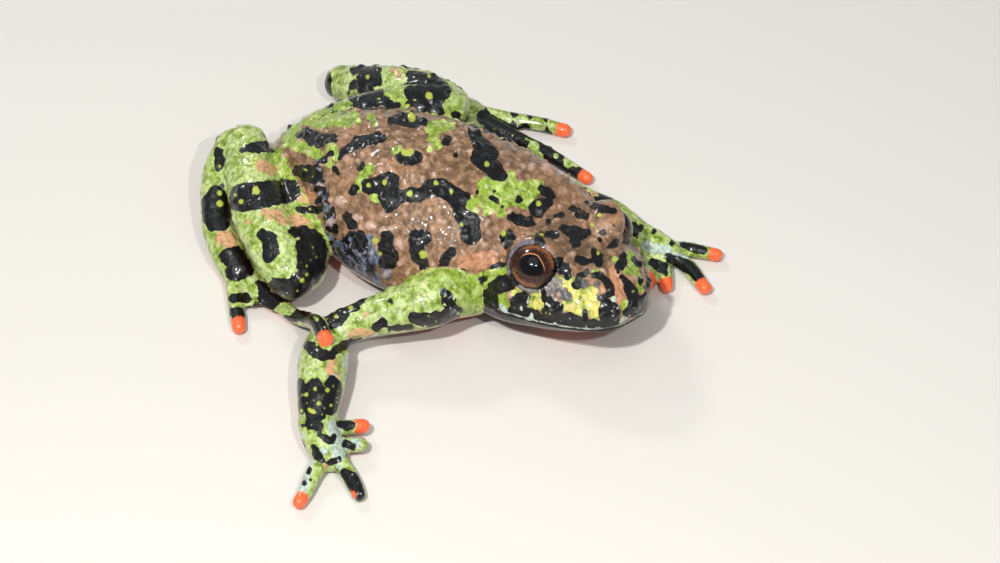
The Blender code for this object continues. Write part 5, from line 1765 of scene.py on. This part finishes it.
@dataclass(frozen=True)
class SkinFinish:
    """Wet skin: its colours, gloss and grain, with painted highlights among the pale marks and specks and
    painted shade between the pebbles.
    """

    tan: tuple = linear(168, 132, 100)
    brown: tuple = linear(106, 78, 54)
    umber: tuple = linear(84, 66, 44)
    pink: tuple = linear(206, 160, 116)
    rust: tuple = linear(188, 134, 98)
    moss: tuple = linear(104, 128, 42)
    green: tuple = linear(146, 172, 58)
    leaf: tuple = linear(190, 208, 118)
    lemon: tuple = linear(212, 204, 106)
    limb: tuple = linear(206, 218, 164)
    blue: tuple = linear(70, 86, 108)
    haze: tuple = linear(132, 136, 158)
    lilac: tuple = linear(112, 106, 120)
    grey: tuple = linear(84, 84, 86)
    # pale skin; also the colour of the far hand's painted highlights
    pale: tuple = linear(182, 200, 184)
    # pale specks; also the colour of the limbs' small painted highlights
    speck: tuple = linear(186, 196, 182)
    black: tuple = linear(8, 8, 9)
    yellow: tuple = linear(172, 180, 70)
    orange: tuple = linear(244, 104, 56)
    belly: tuple = linear(226, 72, 28)
    tip: tuple = linear(208, 174, 158)
    # painted shade for the low places between pebbles
    crevice_shade: tuple = linear(52, 40, 30)

    def material(self, ragged: bpy.types.NodeTree, grain: bpy.types.NodeTree) -> bpy.types.Material:
        """The skin's material: marks in layers from the ground colour up, under a wet film.

        Args:
            ragged: group that gives a mark its ragged edge.
            grain: group of the fine relief.

        Returns:
            The material.
        """
        made = bpy.data.materials.new("wet_skin")
        made.use_nodes = True
        tree = Tree(made.node_tree)
        shader = made.node_tree.nodes["Principled BSDF"]
        place = tree.place()
        fine = tree.noise(place, 1.1, 4.0, 0.6)
        broad = tree.noise(place, 0.22, 2.0)
        relief = tree.add("ShaderNodeGroup", {"node_tree": grain}, Place=place, Pebbles=0.55, Wrinkles=0.5)
        lift = tree.attribute("wart").outputs["Fac"]

        def mask(name: str, raggedness: float, size: float = 1.6, softness: float = 0.05) -> Socket:
            """Mask of one kind of mark with a ragged edge."""
            distance = tree.attribute(name).outputs["Fac"]
            return tree.add("ShaderNodeGroup", {"node_tree": ragged}, Distance=distance, Place=place,
                            Grain=size, Raggedness=raggedness, Softness=softness).outputs["Mask"]

        ground = tree.mix(tree.spread(fine, 0.35, 0.68), self.brown, self.tan)
        ground = tree.mix(tree.math("MULTIPLY", tree.spread(broad, 0.45, 0.7), 0.35), ground, self.rust)
        crown = tree.math("MULTIPLY", mask("umber", 0.9, 0.8, 0.6), 0.6)
        ground = tree.mix(crown, ground, self.umber)
        ground = tree.mix(mask("rust", 0.6), ground, self.rust)
        leaf = tree.mix(tree.spread(fine, 0.32, 0.5), self.moss, self.green)
        leaf = tree.mix(tree.spread(tree.noise(place, 0.9, 3.0, 0.6), 0.48, 0.66), leaf, self.leaf)
        inward = tree.spread(tree.attribute("green").outputs["Fac"], -0.4, -1.8)
        deep = tree.math("MULTIPLY", inward, tree.spread(fine, 0.42, 0.62))
        leaf = tree.mix(tree.math("MULTIPLY", deep, 0.62), leaf, self.limb)
        bright = tree.math("MULTIPLY", mask("lemon", 0.8), tree.spread(fine, 0.34, 0.5))
        leaf = tree.mix(bright, leaf, self.lemon)
        colour = tree.mix(mask("green", 0.7), ground, leaf)
        on_green = tree.spread(tree.attribute("green").outputs["Fac"], 0.0, -0.3)
        blush = tree.math("MULTIPLY", mask("rust", 0.9, 1.2, 0.2), on_green)
        colour = tree.mix(tree.math("MULTIPLY", blush, tree.spread(fine, 0.3, 0.48)), colour, self.pink)
        slate = tree.mix(tree.spread(tree.noise(place, 1.7, 3.0, 0.6), 0.4, 0.6), self.blue, self.haze)
        colour = tree.mix(mask("blue", 0.9), colour, slate)
        shade = tree.math("ADD", 0.62, tree.math("MULTIPLY", tree.spread(fine, 0.3, 0.6), 0.36))
        colour = tree.mix(tree.math("MULTIPLY", mask("lilac", 0.2), shade), colour, self.lilac)
        colour = tree.mix(mask("grey", 0.4), colour, self.grey)
        # pale marks: pale skin, and painted highlights on the far hand
        colour = tree.mix(mask("pale", 0.5), colour, self.pale)
        colour = tree.mix(mask("belly", 1.2, 0.7), colour, self.belly)
        colour = tree.mix(tree.math("MULTIPLY", tree.spread(lift, 0.08, 0.5), 0.7), colour, self.tip)
        # painted shade: darker brown in the low places between pebbles, away from the warts
        between = tree.spread(relief.outputs["Cells"], 0.45, 0.8)
        low = tree.math("MULTIPLY", between, tree.spread(lift, 0.16, 0.02))
        colour = tree.mix(tree.math("MULTIPLY", low, 0.4), colour, self.crevice_shade)
        vein = tree.spread(tree.noise(place, 1.3, 3.0, 0.65), 0.46, 0.49)
        colour = tree.mix(tree.math("MULTIPLY", mask("mottle", 0.8), vein), colour, self.black)
        marbling = tree.spread(tree.noise(place, 0.28, 2.0, 0.5), 0.52, 0.54)
        colour = tree.mix(tree.math("MULTIPLY", mask("belly", 1.6, 0.7), marbling), colour, self.black)
        dark = mask("black", 0.55, 1.5, 0.03)
        colour = tree.mix(dark, colour, self.black)
        colour = tree.mix(mask("dot", 0.3, 2.5, 0.09), colour, self.yellow)
        # specks: pale specks, and small painted highlights on the limbs
        colour = tree.mix(mask("speck", 0.1, 3.0), colour, self.speck)
        colour = tree.mix(mask("orange", 0.7, 1.2, 0.14), colour, self.orange)
        tree.put(shader, "Base Color", colour)
        rough = tree.math("ADD", 0.26, tree.math("MULTIPLY", fine, 0.2))
        tree.put(shader, "Roughness", rough)
        shader.inputs["Coat Weight"].default_value = 0.6
        shader.inputs["Coat Roughness"].default_value = 0.07
        shader.inputs["IOR"].default_value = 1.36
        height = relief.outputs["Height"]
        bump = tree.add("ShaderNodeBump", Strength=0.8, Distance=0.14 * MM, Height=height)
        tree.put(shader, "Normal", bump.outputs["Normal"])
        return made


@dataclass(frozen=True)
class EyeFinish:
    """Glossy eye: black pupil drawn out towards the snout, dark iris flecked with copper."""

    pupil_length: float = 0.47
    pupil_height: float = 0.385
    iris: float = 0.8
    copper: tuple = linear(172, 106, 66)
    dark: tuple = linear(44, 24, 17)
    black: tuple = linear(5, 5, 8)
    edge: tuple = linear(206, 140, 92)

    def material(self) -> bpy.types.Material:
        """The eye's material, drawn from each point's place in the eye's own frame.

        Returns:
            The material.
        """
        made = bpy.data.materials.new("eye_gloss")
        made.use_nodes = True
        tree = Tree(made.node_tree)
        shader = made.node_tree.nodes["Principled BSDF"]
        disc = tree.attribute("disc").outputs["Vector"]
        parts = tree.add("ShaderNodeSeparateXYZ", Vector=disc)
        x, y = parts.outputs[0], parts.outputs[1]
        out = tree.math("SQRT", tree.math("ADD", tree.math("MULTIPLY", x, x), tree.math("MULTIPLY", y, y)))
        taper = tree.math("ADD", 1.0, tree.math("MULTIPLY", tree.math("MAXIMUM", x, 0.0), 0.9))
        wide = tree.math("DIVIDE", x, self.pupil_length)
        high = tree.math("MULTIPLY", tree.math("DIVIDE", y, self.pupil_height), taper)
        square = tree.math("ADD", tree.math("MULTIPLY", wide, wide), tree.math("MULTIPLY", high, high))
        pupil = tree.math("SQRT", square)
        fleck = tree.noise(disc, 32.0, 4.0, 0.7)
        band = tree.math("MAXIMUM", tree.spread(y, 0.12, 0.5), tree.spread(y, -0.3, -0.62))
        rimward = tree.spread(out, 0.5, 0.74)
        bare = tree.math("MULTIPLY", tree.math("MULTIPLY", band, rimward), 0.15)
        limit = tree.math("SUBTRACT", 0.64, bare)
        flecked = tree.spread(tree.math("SUBTRACT", fleck, limit), -0.04, 0.05)
        colour = tree.mix(flecked, self.dark, self.copper)
        colour = tree.mix(tree.spread(out, self.iris - 0.06, self.iris + 0.02), colour, self.black)
        ring = tree.math("MULTIPLY", tree.spread(pupil, 1.0, 1.06), tree.spread(pupil, 1.2, 1.1))
        ring = tree.math("MULTIPLY", ring, tree.spread(y, 0.0, 0.3))
        colour = tree.mix(tree.math("MULTIPLY", ring, 0.8), colour, self.edge)
        colour = tree.mix(tree.spread(pupil, 1.04, 0.98), colour, self.black)
        front = tree.spread(parts.outputs[2], 0.0, 0.1)
        colour = tree.mix(front, self.black, colour)
        tree.put(shader, "Base Color", colour)
        shader.inputs["Roughness"].default_value = 0.12
        shader.inputs["Coat Weight"].default_value = 0.7
        shader.inputs["Specular IOR Level"].default_value = 0.1
        shader.inputs["Coat Roughness"].default_value = 0.02
        return made


# Studio


@dataclass
class Studio:
    """Pale floor, soft overhead light, two small lamps beside the lens, one behind, and the camera."""

    plane: PicturePlane
    shift: Array
    floor_size: float = 3.0
    floor_drop: float = 2e-5
    sensor: float = 36.0

    def lamp(self, name: str, at: Array, size: float, power: float, aim: Array) -> bpy.types.Object:
        """Round area lamp, turned to its aim.

        Args:
            name: name of the lamp.
            at: its place in the toad's frame, millimetres.
            size: its width, millimetres.
            power: its power in watts.
            aim: point that it shines at.

        Returns:
            The lamp.
        """
        light = bpy.data.lights.new(name, "AREA")
        light.shape = "DISK"
        light.size = size * MM
        light.energy = power
        item = bpy.data.objects.new(name, light)
        item.location = Vector((at + self.shift) * MM)
        item.rotation_euler = Vector((aim - at).tolist()).to_track_quat("-Z", "Y").to_euler()
        bpy.context.scene.collection.objects.link(item)
        return item

    def build(self) -> None:
        """Add floor, lights, world and camera."""
        half = self.floor_size / 2
        low = -self.floor_drop
        corners = np.array([[-half, -half, low], [half, -half, low], [half, half, low], [-half, half, low]])
        floor = new_object("floor", corners, np.array([[0, 1, 2, 3]]))
        card = bpy.data.materials.new("pale_card")
        card.use_nodes = True
        shader = card.node_tree.nodes["Principled BSDF"]
        shader.inputs["Base Color"].default_value = linear(214, 210, 202)
        shader.inputs["Roughness"].default_value = 0.9
        floor.data.materials.append(card)
        aim = np.array([0.0, -4.0, 6.0])
        eye = self.plane.eye()
        ahead, right, up = self.plane.axes()
        self.lamp("softbox", np.array([-150.0, -40.0, 420.0]), 440.0, 0.315, aim)
        self.lamp("lens_left", eye + ahead * 60 - right * 70 + up * 60, 14.0, 0.68, aim)
        self.lamp("lens_right", eye + ahead * 60 + right * 60 + up * 30, 9.0, 0.26, aim)
        self.lamp("back", np.array([120.0, 260.0, 260.0]), 70.0, 0.3, aim)
        world = bpy.data.worlds.new("studio")
        world.use_nodes = True
        world.node_tree.nodes["Background"].inputs[0].default_value = (0.9, 0.95, 1.0, 1.0)
        world.node_tree.nodes["Background"].inputs[1].default_value = 0.28
        bpy.context.scene.world = world
        bpy.context.scene.view_settings.view_transform = "Standard"
        camera = bpy.data.cameras.new("camera")
        camera.sensor_width = self.sensor
        camera.lens = self.plane.lens_ratio * self.sensor
        camera.clip_start = 0.01
        camera.clip_end = 20.0
        item = bpy.data.objects.new("camera", camera)
        turn = Matrix(np.stack([right, up, -ahead], axis=1).tolist())
        item.matrix_world = Matrix.Translation(Vector((eye + self.shift) * MM)) @ turn.to_4x4()
        bpy.context.scene.collection.objects.link(item)
        bpy.context.scene.camera = item


def shifted(item: bpy.types.Object, shift: Array) -> None:
    """Move a piece's points by a vector in millimetres, leaving the object at the origin."""
    item.data.transform(Matrix.Translation(Vector(shift * MM)))
    item.data.update()


def main() -> None:
    """Build the skin, the eyes and the studio, and report each piece."""
    logging.basicConfig(level=logging.INFO, format="%(name)s: %(message)s")
    head = HeadFrame()
    eyes = Eyes(head)
    trunk = Trunk(head)
    plane = PicturePlane()
    low, high = (np.array(corner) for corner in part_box("eye_right"))
    shift = (low + high) / 2 / MM - eyes.centre(-1)
    skin = Skin(trunk, Limbs(), Face(head, eyes, trunk), eyes, plane, Warts()).build()
    skin.data.materials.append(SkinFinish().material(ragged_group(), grain_group()))
    shifted(skin, shift)
    skin_nodes = [name for name in frame["nodes"] if not name.startswith("eye_")]
    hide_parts(*skin_nodes)
    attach(skin, "root")
    LOG.info("skin: %d faces", len(skin.data.polygons))
    gloss = EyeFinish().material()
    for side, name in ((-1, "right"), (1, "left")):
        eye = Eyeballs(eyes).build(side, "eyeball_" + name)
        eye.data.materials.append(gloss)
        shifted(eye, shift)
        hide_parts("eye_" + name)
        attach(eye, "root")
        LOG.info("%s: %d faces", eye.name, len(eye.data.polygons))
    Studio(plane, shift).build()


if __name__ == "__main__":
    main()
